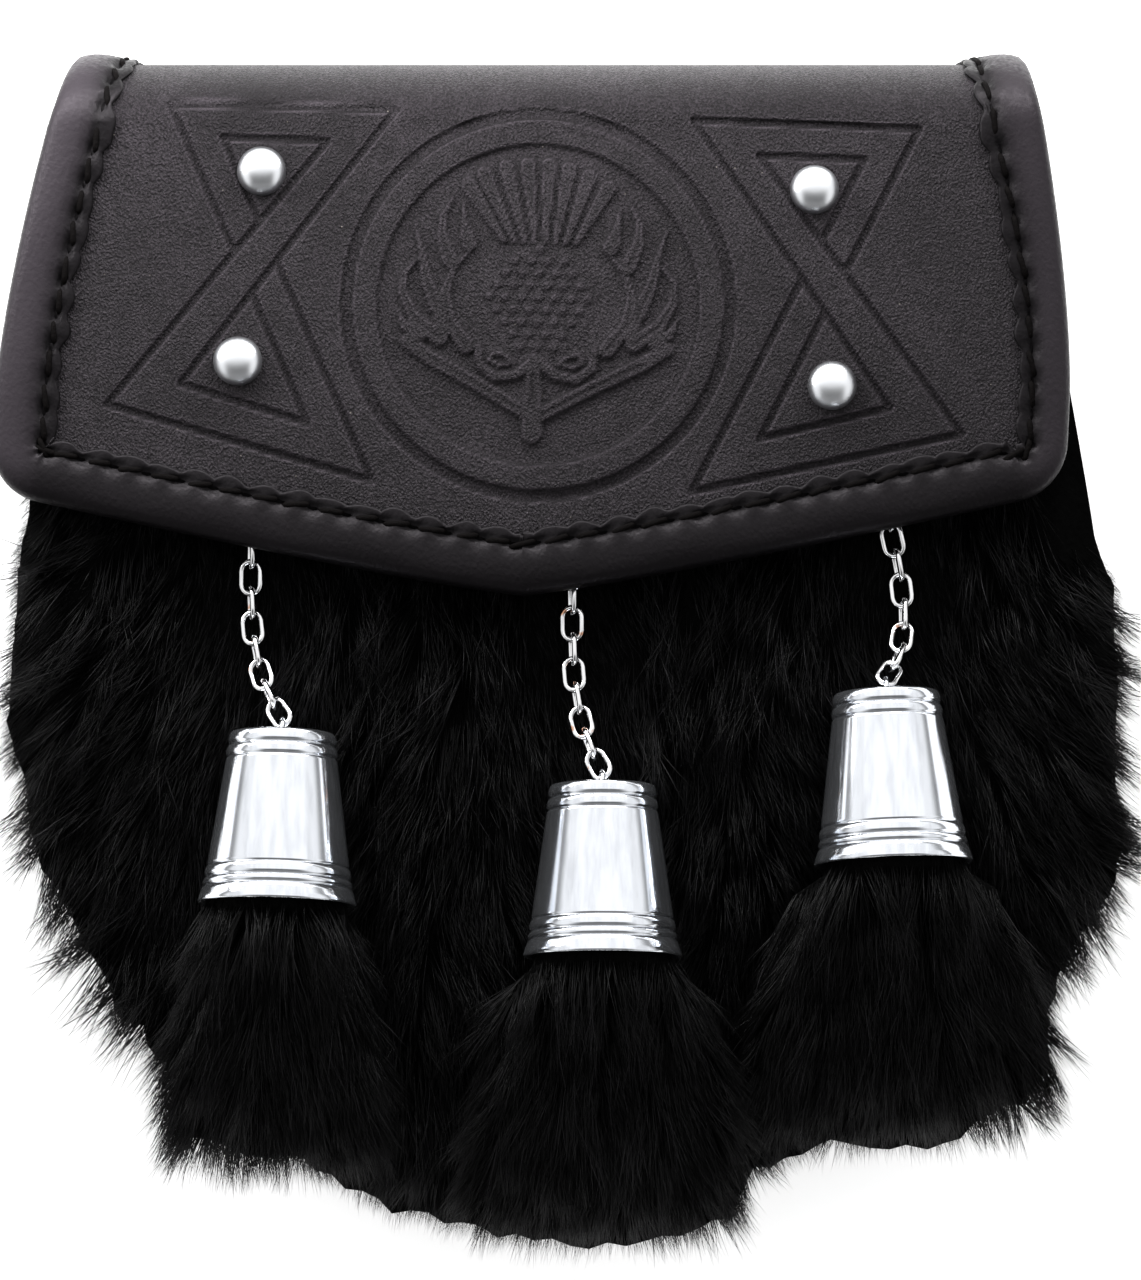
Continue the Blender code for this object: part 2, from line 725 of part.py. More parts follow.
def cone_profile():
    """The bell's outer side from top to mouth and back up its inner side, as (radius, height)."""
    outer = []
    for ring in CONE_RINGS:
        radius = mix(CONE_TOP_RADIUS, CONE_BASE_RADIUS, ring["down"]) + CONE_BEAD * ring["bead"]
        outer.append((radius, -CONE_LENGTH * ring["down"]))
    inner = [(cone_bore(1), -CONE_LENGTH), (cone_bore(PLUG_SHARE), -CONE_LENGTH * PLUG_SHARE),
             (cone_bore(0), -2 * CONE_WALL), (0, -2 * CONE_WALL)]
    return [(0, 0)] + outer + inner


def cone_bore(down):
    """The bell's inner radius."""
    return mix(CONE_TOP_RADIUS, CONE_BASE_RADIUS, down) - CONE_WALL


def make_cone(row, finish, collection, cutters, root):
    """A turned bell with an eye fused to its top."""
    name = f"cone_{row['side']}"
    made = turned_object(name, cone_profile(), 16, finish, collection, root)
    eye = solve_chain(row)[2]
    axis = cone_axis(row)
    top = eye + axis * EYE_HEIGHT
    side = axis.cross(UP).normalized()
    made.matrix_local = placed(top, side, -axis)
    half = (EYE_WIDTH - EYE_WIRE) / 2
    corner = EYE_WIRE * 0.8
    route = [(0, -half, -CONE_WALL), (0, -half, EYE_HEIGHT - corner), (0, corner - half, EYE_HEIGHT),
             (0, half - corner, EYE_HEIGHT), (0, half, EYE_HEIGHT - corner), (0, half, -CONE_WALL)]
    fuse(made, wire_mesh(name + "_eye", route, EYE_WIRE), cutters)


def tassel_stations(row):
    """Middles, directions and half sizes of a tassel's sections, from the plug to near the tips."""
    eye = solve_chain(row)[2]
    axis = cone_axis(row)
    mouth = eye + axis * (EYE_HEIGHT + CONE_LENGTH)
    flat = Vector((axis.x, axis.y, 0)).normalized()
    lying = lying_height(row, eye)
    stations = []
    for down in (PLUG_SHARE, 1.0):
        radius = cone_bore(down) - GAP
        stations.append((mouth - axis * CONE_LENGTH * (1 - down), axis, radius, radius))
    for section in TASSEL_SECTIONS:
        half_width = row["width"] / 2 * section["width"]
        half_height = TASSEL_THICKNESS / 2 * section["thickness"]
        middle = mouth + flat * row["length"] * section["along"]
        middle.z = mix(mouth.z, lying + half_height * (1 + TASSEL_LOCK_DEPTH), smooth(section["along"] * 5))
        stations.append((middle, flat, half_width, half_height))
    return stations


def make_tassel(row, finish, collection, root):
    """Locks of fur fused to the plug that fills the bell's mouth."""
    stations = tassel_stations(row)
    count = 2 * TASSEL_LOCKS
    rings = []
    for number, (middle, along, half_width, half_height) in enumerate(stations):
        side = along.cross(UP).normalized()
        rise = side.cross(along)
        depth = TASSEL_LOCK_DEPTH if number > 1 else 0
        tuft = row["length"] * TASSEL_TUFT if number == len(stations) - 1 else 0
        ring = []
        for step in range(count):
            angle = 2 * math.pi * step / count
            lock = 1 if step % 2 else -1
            scale = 1 + depth * lock
            point = middle + side * half_width * scale * math.cos(angle)
            point += rise * half_height * scale * math.sin(angle) + along * tuft * lock
            ring.append(point)
        rings.append(ring)
    hollow = stations[-1][0] - stations[-1][1] * row["length"] * TASSEL_TUFT * 2
    mesh = loft_mesh(f"tassel_{row['side']}", rings, hollow)
    shade(mesh)
    add_object(f"tassel_{row['side']}", mesh, finish, collection, root)


def fur_limits():
    """What presses the fur down: spots with the height left there and how far the press reaches."""
    cell = max(POUCH_WIDTH / FUR_COLUMNS, (POUCH_TOP - POUCH_BOTTOM) / FUR_ROWS)
    spots = []
    for row in TASSELS:
        middles, directions, eye = solve_chain(row)
        bar = hanging_bar(row)
        block_y = bar.y + HANGER_REACH + HANGER_BLOCK_LENGTH / 2
        spots.append((bar.x, block_y, FUR_UNDER_HANGER, HANGER_BLOCK_WIDTH / 2 + cell))
        for middle in middles:
            left = middle.z - LINK_WIDTH / 2 - GAP - front_height(middle.x, middle.y)
            spots.append((middle.x, middle.y, max(FUR_UNDER_HANGER, left), LINK_WIDTH / 2 + cell))
        axis = cone_axis(row)
        for share in (0.1, 0.4, 0.7, 1.0):
            middle = eye + axis * CONE_LENGTH * share
            radius = mix(CONE_TOP_RADIUS, CONE_BASE_RADIUS, share)
            spots.append((middle.x, middle.y, FUR_UNDER_TASSEL, radius * 0.7 + cell))
        for middle, along, half_width, half_height in tassel_stations(row)[2:]:
            spots.append((middle.x, middle.y, FUR_UNDER_TASSEL, half_width + cell))
    return spots


def fur_height(x, y, spots, lock):
    """How far the fur stands above the front panel, lower under what lies on it."""
    height = FUR_PILE * (1 + FUR_LOCK_DEPTH * lock)
    beside = abs(x - flap_centre(y)) - flap_half_width(y)
    below = flap_low_edge(x - flap_centre(y)) - y
    cell = POUCH_WIDTH / FUR_COLUMNS
    height = min(height, FUR_UNDER_FLAP + max(0, max(beside, below) - cell))
    for spot_x, spot_y, left, reach in spots:
        away = math.hypot(x - spot_x, y - spot_y)
        height = min(height, left + max(0, away - reach))
    return height


def fur_tuft(x, y, lock):
    """Where a point on the skin's rim goes: out past the pouch's edge, alternate ones as tips."""
    outwards = Vector((x / (POUCH_WIDTH / 2), min(0, y - POUCH_WIDEST) / (POUCH_WIDEST - POUCH_BOTTOM)))
    outwards = outwards.normalized() + Vector((0, -FUR_COMB))
    reach = FUR_OVERHANG + (FUR_TUFT if lock > 0 else 0)
    return Vector((x, y)) + outwards.normalized() * reach


def make_fur(finish, collection, root):
    """The long-haired skin: locks over the whole front, with tufts past the pouch's edge."""
    spots = fur_limits()
    top, base = [], []
    for row in range(FUR_ROWS + 1):
        top_row, base_row = [], []
        for column in range(FUR_COLUMNS + 1):
            turn = math.pi * FUR_EDGE_CROWDING
            across = math.sin(turn * (column / FUR_COLUMNS - 0.5)) / math.sin(turn / 2)
            x, y = pouch_point(across, row / FUR_ROWS)
            lock = 1 if (row + column) % 2 else -1
            height = fur_height(x, y, spots, lock)
            if row == FUR_ROWS or (column in (0, FUR_COLUMNS) and row > 0):
                x, y = fur_tuft(x, y, lock)
                height = FUR_EDGE + GAP
            ground = front_height(x, y)
            top_row.append((x, y, ground + height))
            base_row.append((x, y, ground + GAP))
        top.append(top_row)
        base.append(base_row)
    add_object("fur_front", slab_mesh("fur_front", base, top), finish, collection, root)


def slab_mesh(name, base, top):
    """A closed body between two grids of the same size."""
    lines, count = len(base), len(base[0])
    layer = lines * count
    points = [point for grid in (base, top) for row in grid for point in row]
    faces = []
    for row in range(lines - 1):
        for step in range(count - 1):
            first = row * count + step
            quad = (first, first + 1, first + count + 1, first + count)
            faces.append(quad)
            faces.append(tuple(layer + corner for corner in reversed(quad)))
    rim = list(range(count))
    rim += [row * count + count - 1 for row in range(1, lines)]
    rim += [(lines - 1) * count + step for step in range(count - 2, -1, -1)]
    rim += [row * count for row in range(lines - 2, 0, -1)]
    for here, there in zip(rim, rim[1:] + rim[:1]):
        faces.append((here, there, layer + there, layer + here))
    mesh = bpy.data.meshes.new(name)
    mesh.from_pydata(points, [], faces)
    face_out(mesh)
    return mesh


def centre_on_origin(root, collection):
    """Moves everything so that the box's middle lies over the origin."""
    bpy.context.view_layer.update()
    graph = bpy.context.evaluated_depsgraph_get()
    low, high = Vector((1, 1, 1)), Vector((-1, -1, -1))
    for member in collection.objects:
        if member.type == "EMPTY":
            continue
        shown = member.evaluated_get(graph)
        mesh = shown.to_mesh()
        for vertex in mesh.vertices:
            point = shown.matrix_world @ vertex.co
            low = Vector(map(min, low, point))
            high = Vector(map(max, high, point))
        shown.to_mesh_clear()
    middle = (low + high) / 2
    root.location = (-middle.x, -middle.y, -low.z)
    bpy.context.view_layer.update()


def main():
    for old in list(bpy.data.objects):
        bpy.data.objects.remove(old)
    parts = bpy.data.collections.new("sporran_pouch")
    cutters = bpy.data.collections.new("cutters")
    bpy.context.scene.collection.children.link(parts)
    bpy.context.scene.collection.children.link(cutters)
    root = bpy.data.objects.new("pouch_origin", None)
    parts.objects.link(root)

    flap_leather = material("flap_leather", (0.03, 0.028, 0.03), 0.5)
    binding_leather = material("binding_leather", (0.03, 0.026, 0.03), 0.38)
    pouch_leather = material("pouch_leather", (0.022, 0.02, 0.02), 0.55)
    fur = material("fur", (0.008, 0.008, 0.009), 0.6)
    chrome = material("chrome", (0.85, 0.86, 0.88), 0.08, 1)
    stud_metal = material("stud_metal", (0.8, 0.82, 0.85), 0.3, 1)

    make_back_panel(pouch_leather, parts, root)
    make_gusset(pouch_leather, parts, root)
    make_front_panel(pouch_leather, parts, root)
    make_belt_loop("belt_loop_left", -1, pouch_leather, parts, root)
    make_belt_loop("belt_loop_right", 1, pouch_leather, parts, root)
    make_flap(flap_leather, parts, root)
    make_binding(binding_leather, parts, root)
    make_studs(stud_metal, parts, root)
    make_snap(chrome, parts, root)
    make_fur(fur, parts, root)
    link = wire_mesh("link", link_points(), LINK_WIRE, closed=True)
    link.materials.append(chrome)
    shade(link)
    for row in TASSELS:
        make_hanger(row, chrome, parts, cutters, root)
        make_chain(row, link, parts, root)
        make_cone(row, chrome, parts, cutters, root)
        make_tassel(row, fur, parts, root)
    centre_on_origin(root, parts)


main()
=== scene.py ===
"""A sporran pouch lying on its back on a pale table, seen from straight above.

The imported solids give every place. This file gives the looks: the stamped flap with its binding and
thonging, the long-haired front, and the chains, bells and tassels. Lengths are in metres.
"""
import json
import math

import bmesh
import bpy
import numpy as np
from mathutils import Matrix, Vector

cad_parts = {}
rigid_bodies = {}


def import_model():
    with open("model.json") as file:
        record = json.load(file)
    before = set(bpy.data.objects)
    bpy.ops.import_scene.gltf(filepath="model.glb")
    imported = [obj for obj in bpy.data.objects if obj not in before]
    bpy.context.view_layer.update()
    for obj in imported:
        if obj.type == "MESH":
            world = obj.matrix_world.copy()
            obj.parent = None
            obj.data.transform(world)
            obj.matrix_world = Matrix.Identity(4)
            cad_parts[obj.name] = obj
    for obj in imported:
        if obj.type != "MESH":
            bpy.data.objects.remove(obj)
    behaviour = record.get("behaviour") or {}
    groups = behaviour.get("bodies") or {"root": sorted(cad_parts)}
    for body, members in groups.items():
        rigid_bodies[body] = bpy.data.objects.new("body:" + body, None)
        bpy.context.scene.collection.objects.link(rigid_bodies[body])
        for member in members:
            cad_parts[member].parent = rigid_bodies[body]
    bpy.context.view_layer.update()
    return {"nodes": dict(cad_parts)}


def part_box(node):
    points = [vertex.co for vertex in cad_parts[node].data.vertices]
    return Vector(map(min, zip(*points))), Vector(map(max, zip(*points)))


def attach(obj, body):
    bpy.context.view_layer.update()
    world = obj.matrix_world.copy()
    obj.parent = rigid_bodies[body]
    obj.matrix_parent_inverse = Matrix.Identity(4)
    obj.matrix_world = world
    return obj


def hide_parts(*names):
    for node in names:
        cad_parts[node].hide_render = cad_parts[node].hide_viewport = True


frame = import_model()

MM = 0.001

# Camera and light
PICTURE_WIDTH = 199.7 * MM  # width of the view at the height of the flap
FOCUS_HEIGHT = 45 * MM
CAMERA_RISE = 1.0
CAMERA_Y = 3.0 * MM  # counted as the pouch's heights are
SENSOR = 36  # millimetres
KEY_PLACE, KEY_TARGET = Vector((-0.04, 0.158, 0.092)), Vector((-0.015, 0.06, 0.045))
KEY_WIDTH, KEY_DEPTH, KEY_POWER = 0.44, 0.05, 0.72
TABLE_HALF = 4.0

# The pouch, as its solids have it. Heights along Y are counted from the middle of the front.
POUCH_TOP_WIDTH, POUCH_WIDTH = 166 * MM, 190 * MM
POUCH_TOP, POUCH_WIDEST, POUCH_BOTTOM = 93 * MM, -10 * MM, -93 * MM
POUCH_ROUNDNESS = 2.2
CROWN = 4 * MM
GAP = 0.3 * MM
FRONT_FACE = 34.1 * MM
FLAP_TOP_WIDTH, FLAP_WIDTH = 166 * MM, 185.6 * MM
FLAP_WIDEST = 45 * MM
FLAP_CENTRE = -3.7 * MM
FLAP_LEAN = 0.05
FLAP_TIP, FLAP_CORNER, FLAP_CORNER_RADIUS = 12.2 * MM, 37.5 * MM, 9 * MM
FLAP_EDGE_POWER = 1.15
FLAP_THICKNESS = 2.4 * MM
FLAP_FACE = 44.0 * MM
APRON_FACE = 4.8 * MM
APRON_LENGTH = 22 * MM
FOLD_START = 93.6 * MM
FOLD_REACH = 12 * MM
FOLD_MIDDLE, FOLD_HALF = (FLAP_FACE + APRON_FACE) / 2, (FLAP_FACE - APRON_FACE) / 2
BINDING_WIDTH, BINDING_WIDTH_RIGHT, BINDING_BACK_WIDTH = 7.4 * MM, 5.2 * MM, 5 * MM
SCALLOP = 0.8 * MM
STITCH_PITCH, STITCH_LENGTH, STITCH_RADIUS = 6.0 * MM, 5.2 * MM, 0.40 * MM
STUD_RADIUS, STUD_RISE = 4.3 * MM, 2.9 * MM
SHIFT_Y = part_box("back_panel")[1].y - POUCH_TOP

# The stamp on the flap, in millimetres. Its drawing is counted from the middle of its ring.
STAMP_X, STAMP_Y = -5.7, 61.7
STAMP_TURN = math.radians(2.0)
STAMP_DEPTH = 0.62
RING_OUTER, RING_GROOVE, RING_INNER = 34.5, 1.9, 28.1
RING_BAND, RING_BAND_HALF, RING_BAND_RISE = 30.4, 2.0, 0.15

# Bells and tassels
CONE_LENGTH, CONE_TOP_RADIUS, CONE_BASE_RADIUS = 30 * MM, 9 * MM, 13.3 * MM
CONE_WALL, CONE_BEAD = 0.9 * MM, 0.5 * MM
EYE_HEIGHT, EYE_WIDTH, EYE_WIRE, EYE_SUNK = 2.4 * MM, 5.4 * MM, 1 * MM, 1 * MM
TASSELS = (
    {"side": "left", "lean": -1.5, "width": 36 * MM, "length": 49 * MM, "links": 10},
    {"side": "centre", "lean": 0.0, "width": 47 * MM, "length": 52 * MM, "links": 10},
    {"side": "right", "lean": 2.0, "width": 52 * MM, "length": 51 * MM, "links": 8},
)
TASSEL_THICKNESS = 22 * MM
TASSEL_SHAPE = (  # share of the length, of the width and of the thickness
    (-0.16, 0.0, 0.0), (0.03, 0.0, 0.0), (0.10, 0.66, 0.95), (0.30, 0.80, 0.90), (0.55, 0.92, 0.80),
    (0.74, 0.95, 0.56), (0.85, 0.84, 0.24),
)
LINK_LENGTH, LINK_WIDTH, LINK_WIRE = 6.7 * MM, 4.4 * MM, 0.95 * MM

# Fur
HAIRS_FRONT = 19500  # for each half of the front
HAIRS_TASSEL = 9000
HAIR_LENGTH = 17 * MM
CLUMP_PULL = 4500
FUR_PILE = 7.6 * MM
RIM_REACH = (  # direction from the middle in degrees, 0 right and -90 down, and reach past the edge in mm
    (-190, 6.5), (-181, 6.0), (-179, 5.5), (-171, 4.0), (-163, 3.8), (-158, 2.2), (-149, 1.2), (-143, 4.5),
    (-140, 2.5), (-131, 6.5), (-124, 8.5), (-118, 5.0), (-110, 7.5), (-100, 8.5), (-88, 11.0), (-74, 9.0),
    (-71, 3.0), (-62, 2.0), (-56, 8.0), (-50, 11.0), (-38, 11.0), (-34, 6.0), (-27, 4.5), (-20, 7.5),
    (-14, 7.0), (-6, 3.0), (-2, 2.5), (2, 4.5),
)
RIM_HAIR = 3.2 * MM
BARE_ABOVE = 14 * MM  # on the right no coat shows past the leather above this height

RIGHT, AWAY, UP = Vector((1, 0, 0)), Vector((0, 1, 0)), Vector((0, 0, 1))


# Node trees

class Value:
    """A node's output, with the arithmetic that makes further nodes."""

    def __init__(self, maker, socket):
        self.maker, self.socket = maker, socket

    def __add__(self, other):
        return self.maker.math("ADD", self, other)

    def __sub__(self, other):
        return self.maker.math("SUBTRACT", self, other)

    def __rsub__(self, other):
        return self.maker.math("SUBTRACT", other, self)

    def __mul__(self, other):
        return self.maker.math("MULTIPLY", self, other)

    def __truediv__(self, other):
        return self.maker.math("DIVIDE", self, other)

    def __rtruediv__(self, other):
        return self.maker.math("DIVIDE", other, self)

    def __pow__(self, other):
        return self.maker.math("POWER", self, other)

    __radd__, __rmul__ = __add__, __mul__


class Maker:
    """Adds nodes to one tree."""

    def __init__(self, tree):
        self.tree = tree

    def feed(self, node, inputs):
        """Sets a node's inputs, by name or number, to values or links."""
        for key, value in inputs.items():
            if isinstance(value, Value):
                self.tree.links.new(value.socket, node.inputs[key])
            else:
                node.inputs[key].default_value = value

    def node(self, kind, settings=None, inputs=None, output=0):
        """A node of a kind: its settings first, then values or links by input, and one output back."""
        made = self.tree.nodes.new(kind)
        for name, value in (settings or {}).items():
            setattr(made, name, value)
        self.feed(made, inputs or {})
        return Value(self, made.outputs[output]) if len(made.outputs) else made

    def beside(self, value, output):
        """Another output of the node that a value comes from."""
        return Value(self, value.socket.node.outputs[output])

    def math(self, operation, *values):
        return self.node("ShaderNodeMath", {"operation": operation}, dict(enumerate(values)))

    def clamped(self, value, low, high):
        return self.node("ShaderNodeClamp", {}, {"Value": value, "Min": low, "Max": high})

    def ranged(self, value, low, high, to_low=0.0, to_high=1.0):
        return self.node("ShaderNodeMapRange", {"interpolation_type": "SMOOTHSTEP"},
                         {"Value": value, "From Min": low, "From Max": high,
                          "To Min": to_low, "To Max": to_high})

    def mixed(self, share, first, second):
        """A colour between two colours."""
        return self.node("ShaderNodeMix", {"data_type": "RGBA"}, {0: share, 6: first, 7: second}, 2)

    def vector(self, operation, *values):
        return self.node("ShaderNodeVectorMath", {"operation": operation}, dict(enumerate(values)))

    def scaled(self, vector, scale):
        return self.node("ShaderNodeVectorMath", {"operation": "SCALE"}, {0: vector, "Scale": scale})

    def place(self):
        """Where on the object a point of its surface is."""
        return self.node("ShaderNodeTexCoord", output="Object")

    def noise(self, place, size, detail=3.0):
        """Soft patches of about a size."""
        return self.node("ShaderNodeTexNoise", {}, {"Vector": place, "Scale": 1 / size, "Detail": detail})

    def bump(self, strength, depth, height):
        return self.node("ShaderNodeBump", {}, {"Strength": strength, "Distance": depth, "Height": height})

    def painted(self, name):
        """A number that a material reads from the surface."""
        return self.node("ShaderNodeAttribute", {"attribute_name": name}, output="Fac")

    def carried(self, name, kind="FLOAT"):
        """A number or vector that a geometry tree reads from the points."""
        return self.node("GeometryNodeInputNamedAttribute", {"data_type": kind}, {"Name": name}, "Attribute")


def new_material(name):
    """A material, the maker of its nodes and its shader."""
    made = bpy.data.materials.new(name)
    made.use_nodes = True
    return made, Maker(made.node_tree), made.node_tree.nodes["Principled BSDF"]


def grey(level, purple=0.0):
    return (level * (1 + purple), level, level * (1 + purple), 1)


def leather(name, dark, light, roughness, pebble, depth, specks=0.0, purple=0.18, shine=0.29):
    """Grained leather: pebbles and mottling, painted shade in creases and painted highlights on raised
    edges, a few pale fibres.
    """
    made, maker, shader = new_material(name)
    place = maker.place()
    turned = maker.node("ShaderNodeMapping", {}, {"Vector": place, "Rotation": (0, 0, 0.6),
                                                  "Scale": (1.2, 1.0, 1.0)})
    pebbles = maker.node("ShaderNodeTexVoronoi", {"feature": "SMOOTH_F1"},
                         {"Vector": turned, "Scale": 1 / pebble, "Smoothness": 0.35})
    fine = maker.node("ShaderNodeTexNoise", {}, {"Vector": turned, "Scale": 1.1 / pebble, "Detail": 4.0,
                                                 "Roughness": 0.6})
    grain = 0.5 - (pebbles - 0.35) * 0.9 + (fine - 0.5) * 2.2
    broad, patches = maker.noise(place, 26 * MM, 4.0), maker.noise(place, 4 * MM)
    share = maker.clamped(0.3 + (grain - 0.5) * 0.9 + (broad - 0.5) * 0.9 + (patches - 0.5) * 0.6, 0.0, 1.0)
    colour = maker.mixed(share, grey(dark, purple), grey(light, purple))
    # Painted highlight: paler where the points carry a highlight share.
    colour = maker.mixed(maker.painted("rubbed") * 0.6, colour, grey(0.062, purple))
    # Painted shade: darker where the points carry a shade share.
    colour = maker.mixed(maker.painted("crease") * 0.88, colour, grey(dark * 0.3))
    if specks:
        spots = maker.node("ShaderNodeTexVoronoi", {}, {"Vector": place, "Scale": 1 / (1.6 * MM)})
        chance = maker.node("ShaderNodeSeparateColor", {}, {0: maker.beside(spots, "Color")})
        there = maker.ranged(spots, 0.12, 0.05) * maker.ranged(chance, 1 - specks, 1.0)
        colour = maker.mixed(there * 0.5, colour, (0.30, 0.27, 0.24, 1))
    maker.feed(shader, {
        "Base Color": colour,
        "Roughness": maker.clamped(roughness - (grain - 0.5) * 0.22, 0.1, 1.0),
        "Normal": maker.bump(0.9, depth, grain),
        "Specular IOR Level": shine,
        "Specular Tint": (1.0, 0.92, 0.99, 1),
    })
    return made


def undercoat(name):
    """The dense dark coat under the hairs."""
    made, maker, shader = new_material(name)
    strands = maker.noise(maker.place(), 1.2 * MM, 4.0)
    maker.feed(shader, {
        "Base Color": maker.mixed(strands, grey(0.0006), grey(0.0025)),
        "Roughness": 0.9,
        "Normal": maker.bump(0.6, 0.6 * MM, strands),
        "Specular IOR Level": 0.02,
    })
    return made


def long_hair(name):
    """Black hair with grey painted into a random few strands as glints, more of it towards their tips."""
    made, maker, shader = new_material(name)
    tone = maker.painted("tone")
    # Painted glint: grey in a random few strands, more towards their tips.
    painted_sheen = (tone ** 4) * (maker.painted("along") * 0.8 + 0.1)
    maker.feed(shader, {
        "Base Color": maker.mixed(painted_sheen, grey(0.0008), (0.036, 0.034, 0.038, 1)),
        "Roughness": 0.30 + tone * 0.25,
        "Specular IOR Level": 0.18,
    })
    return made


def metal(name, colour, roughness, worn=0.0, streaks=0.0, metallic=1.0):
    """Polished metal, with faint streaks along it or with copper showing through in small places."""
    made, maker, shader = new_material(name)
    place = maker.place()
    base = (*colour, 1)
    if streaks:
        drawn = maker.node("ShaderNodeMapping", {}, {"Vector": place, "Scale": (1.0, 0.012, 0.6)})
        lines = maker.ranged(maker.noise(drawn, 1.6 * MM), 0.40, 0.72)
        base = maker.mixed(lines * streaks, base, (0.52, 0.54, 0.59, 1))
    if worn:
        rubs = maker.ranged(maker.noise(place, 3.5 * MM, 2.0), 0.66, 0.72)
        base = maker.mixed(rubs * worn, base, (0.62, 0.30, 0.16, 1))
    smear = maker.noise(place, 9 * MM) - 0.5
    maker.feed(shader, {
        "Base Color": base,
        "Roughness": maker.clamped(roughness + smear * roughness * 0.8, 0.02, 1.0),
        "Metallic": metallic,
    })
    return made


def waxed_thread(name):
    """Dull black thread with a fine twist."""
    made, maker, shader = new_material(name)
    twist = maker.noise(maker.place(), 0.5 * MM)
    maker.feed(shader, {
        "Base Color": maker.mixed(twist, (0.0008, 0.0006, 0.0006, 1), (0.004, 0.003, 0.003, 1)),
        "Roughness": 0.8,
        "Normal": maker.bump(0.8, 0.2 * MM, twist),
        "Specular IOR Level": 0.06,
    })
    return made


def white_table(name):
    """A plain table that glows enough to stay white under the soft light."""
    made, maker, shader = new_material(name)
    maker.feed(shader, {
        "Base Color": (0.94, 0.94, 0.94, 1),
        "Roughness": 0.8,
        "Specular IOR Level": 0.1,
        "Emission Color": (1, 1, 1, 1),
        "Emission Strength": 0.66,
    })
    return made


# Shapes of the pouch

def smooth(share):
    share = np.clip(share, 0.0, 1.0)
    return share * share * (3 - 2 * share)


def mix(start, end, share):
    return start + (end - start) * share


def pouch_half_width(y):
    return mix(POUCH_TOP_WIDTH, POUCH_WIDTH, smooth((POUCH_TOP - y) / (POUCH_TOP - POUCH_WIDEST))) / 2


def pouch_low_edge(x):
    share = np.minimum(1.0, np.abs(x) / (POUCH_WIDTH / 2))
    arch = (1 - share ** POUCH_ROUNDNESS) ** (1 / POUCH_ROUNDNESS)
    return mix(POUCH_WIDEST, POUCH_BOTTOM, arch)


def front_height(x, y):
    """The leather under the fur, slightly crowned."""
    across = np.minimum(1.0, np.abs(x) / pouch_half_width(y))
    down = np.clip((POUCH_TOP - y) / (POUCH_TOP - pouch_low_edge(x)), 0.0, 1.0)
    return FRONT_FACE + CROWN * (1 - across ** 2) ** 2 * (1 - (2 * down - 1) ** 4)


def flap_half_width(y):
    share = np.clip((FOLD_START + FOLD_REACH - y) / (FOLD_START + FOLD_REACH - FLAP_WIDEST), 0.0, 1.0)
    return mix(FLAP_TOP_WIDTH, FLAP_WIDTH, 1 - (1 - share) ** 1.5) / 2


def flap_centre(y):
    return FLAP_CENTRE - FLAP_LEAN * (FOLD_START + FOLD_REACH - y)


def flap_height(x, y):
    return front_height(x, y) + FLAP_FACE - FRONT_FACE


def flap_corner():
    """The corner arc's centre and the slope of the lower edge where it leaves it."""
    centre_x = FLAP_WIDTH / 2 - FLAP_CORNER_RADIUS
    rise = FLAP_CORNER - FLAP_CORNER_RADIUS - FLAP_TIP
    return centre_x, math.atan(FLAP_EDGE_POWER * rise / centre_x)


def flap_low_edge(x):
    """Height of the flap's lower edge at distances x from its centre line."""
    centre_x, slope = flap_corner()
    end_x = centre_x + FLAP_CORNER_RADIUS * math.sin(slope)
    end_y = FLAP_CORNER - FLAP_CORNER_RADIUS * math.cos(slope)
    x = np.abs(x)
    out = np.clip(x - centre_x, 0.0, FLAP_CORNER_RADIUS)
    arc = FLAP_CORNER - np.sqrt(FLAP_CORNER_RADIUS ** 2 - out ** 2)
    return np.where(x <= end_x, mix(FLAP_TIP, end_y, (np.minimum(x, end_x) / end_x) ** FLAP_EDGE_POWER), arc)


def flap_edge_half(bottom_steps, arc_steps):
    """Half of the lower outline, from the tip to the side: distances from the centre line and heights."""
    centre_x, slope = flap_corner()
    end_x = centre_x + FLAP_CORNER_RADIUS * math.sin(slope)
    bottom = np.linspace(0, end_x, bottom_steps, endpoint=False)
    angles = np.linspace(slope - math.pi / 2, 0, arc_steps + 1)
    xs = np.concatenate([bottom, centre_x + FLAP_CORNER_RADIUS * np.cos(angles)])
    ys = np.concatenate([flap_low_edge(bottom), FLAP_CORNER + FLAP_CORNER_RADIUS * np.sin(angles)])
    return xs, ys


def fold_place(angle):
    """Y and height of the fold, from angle 0 at the front to pi behind."""
    return FOLD_START + FOLD_REACH * np.sin(angle), FOLD_MIDDLE + FOLD_HALF * np.cos(angle)


def fold_normal(angle):
    """The way the fold faces at an angle."""
    return Vector((0, math.sin(angle) / FOLD_REACH, math.cos(angle) / FOLD_HALF)).normalized()


# The stamp

def segment_distance(u, v, start, end):
    """Distance to a straight stretch, and how far along it the nearest point is."""
    (x1, y1), (x2, y2) = start, end
    dx, dy = x2 - x1, y2 - y1
    share = np.clip(((u - x1) * dx + (v - y1) * dy) / (dx * dx + dy * dy), 0.0, 1.0)
    return np.hypot(u - x1 - share * dx, v - y1 - share * dy), share


def inside(distance, half, soft=0.35):
    """1 within half of a line, 0 outside it, with a soft step between."""
    return smooth((half - distance) / soft + 0.5)


def stroke(u, v, points, start_half, end_half, soft=0.35):
    """A tapering brush stroke through points."""
    made = np.zeros_like(u)
    steps = len(points) - 1
    for number, (start, end) in enumerate(zip(points, points[1:])):
        distance, share = segment_distance(u, v, start, end)
        half = mix(start_half, end_half, (number + share) / steps)
        made = np.maximum(made, inside(distance, half, soft))
    return made


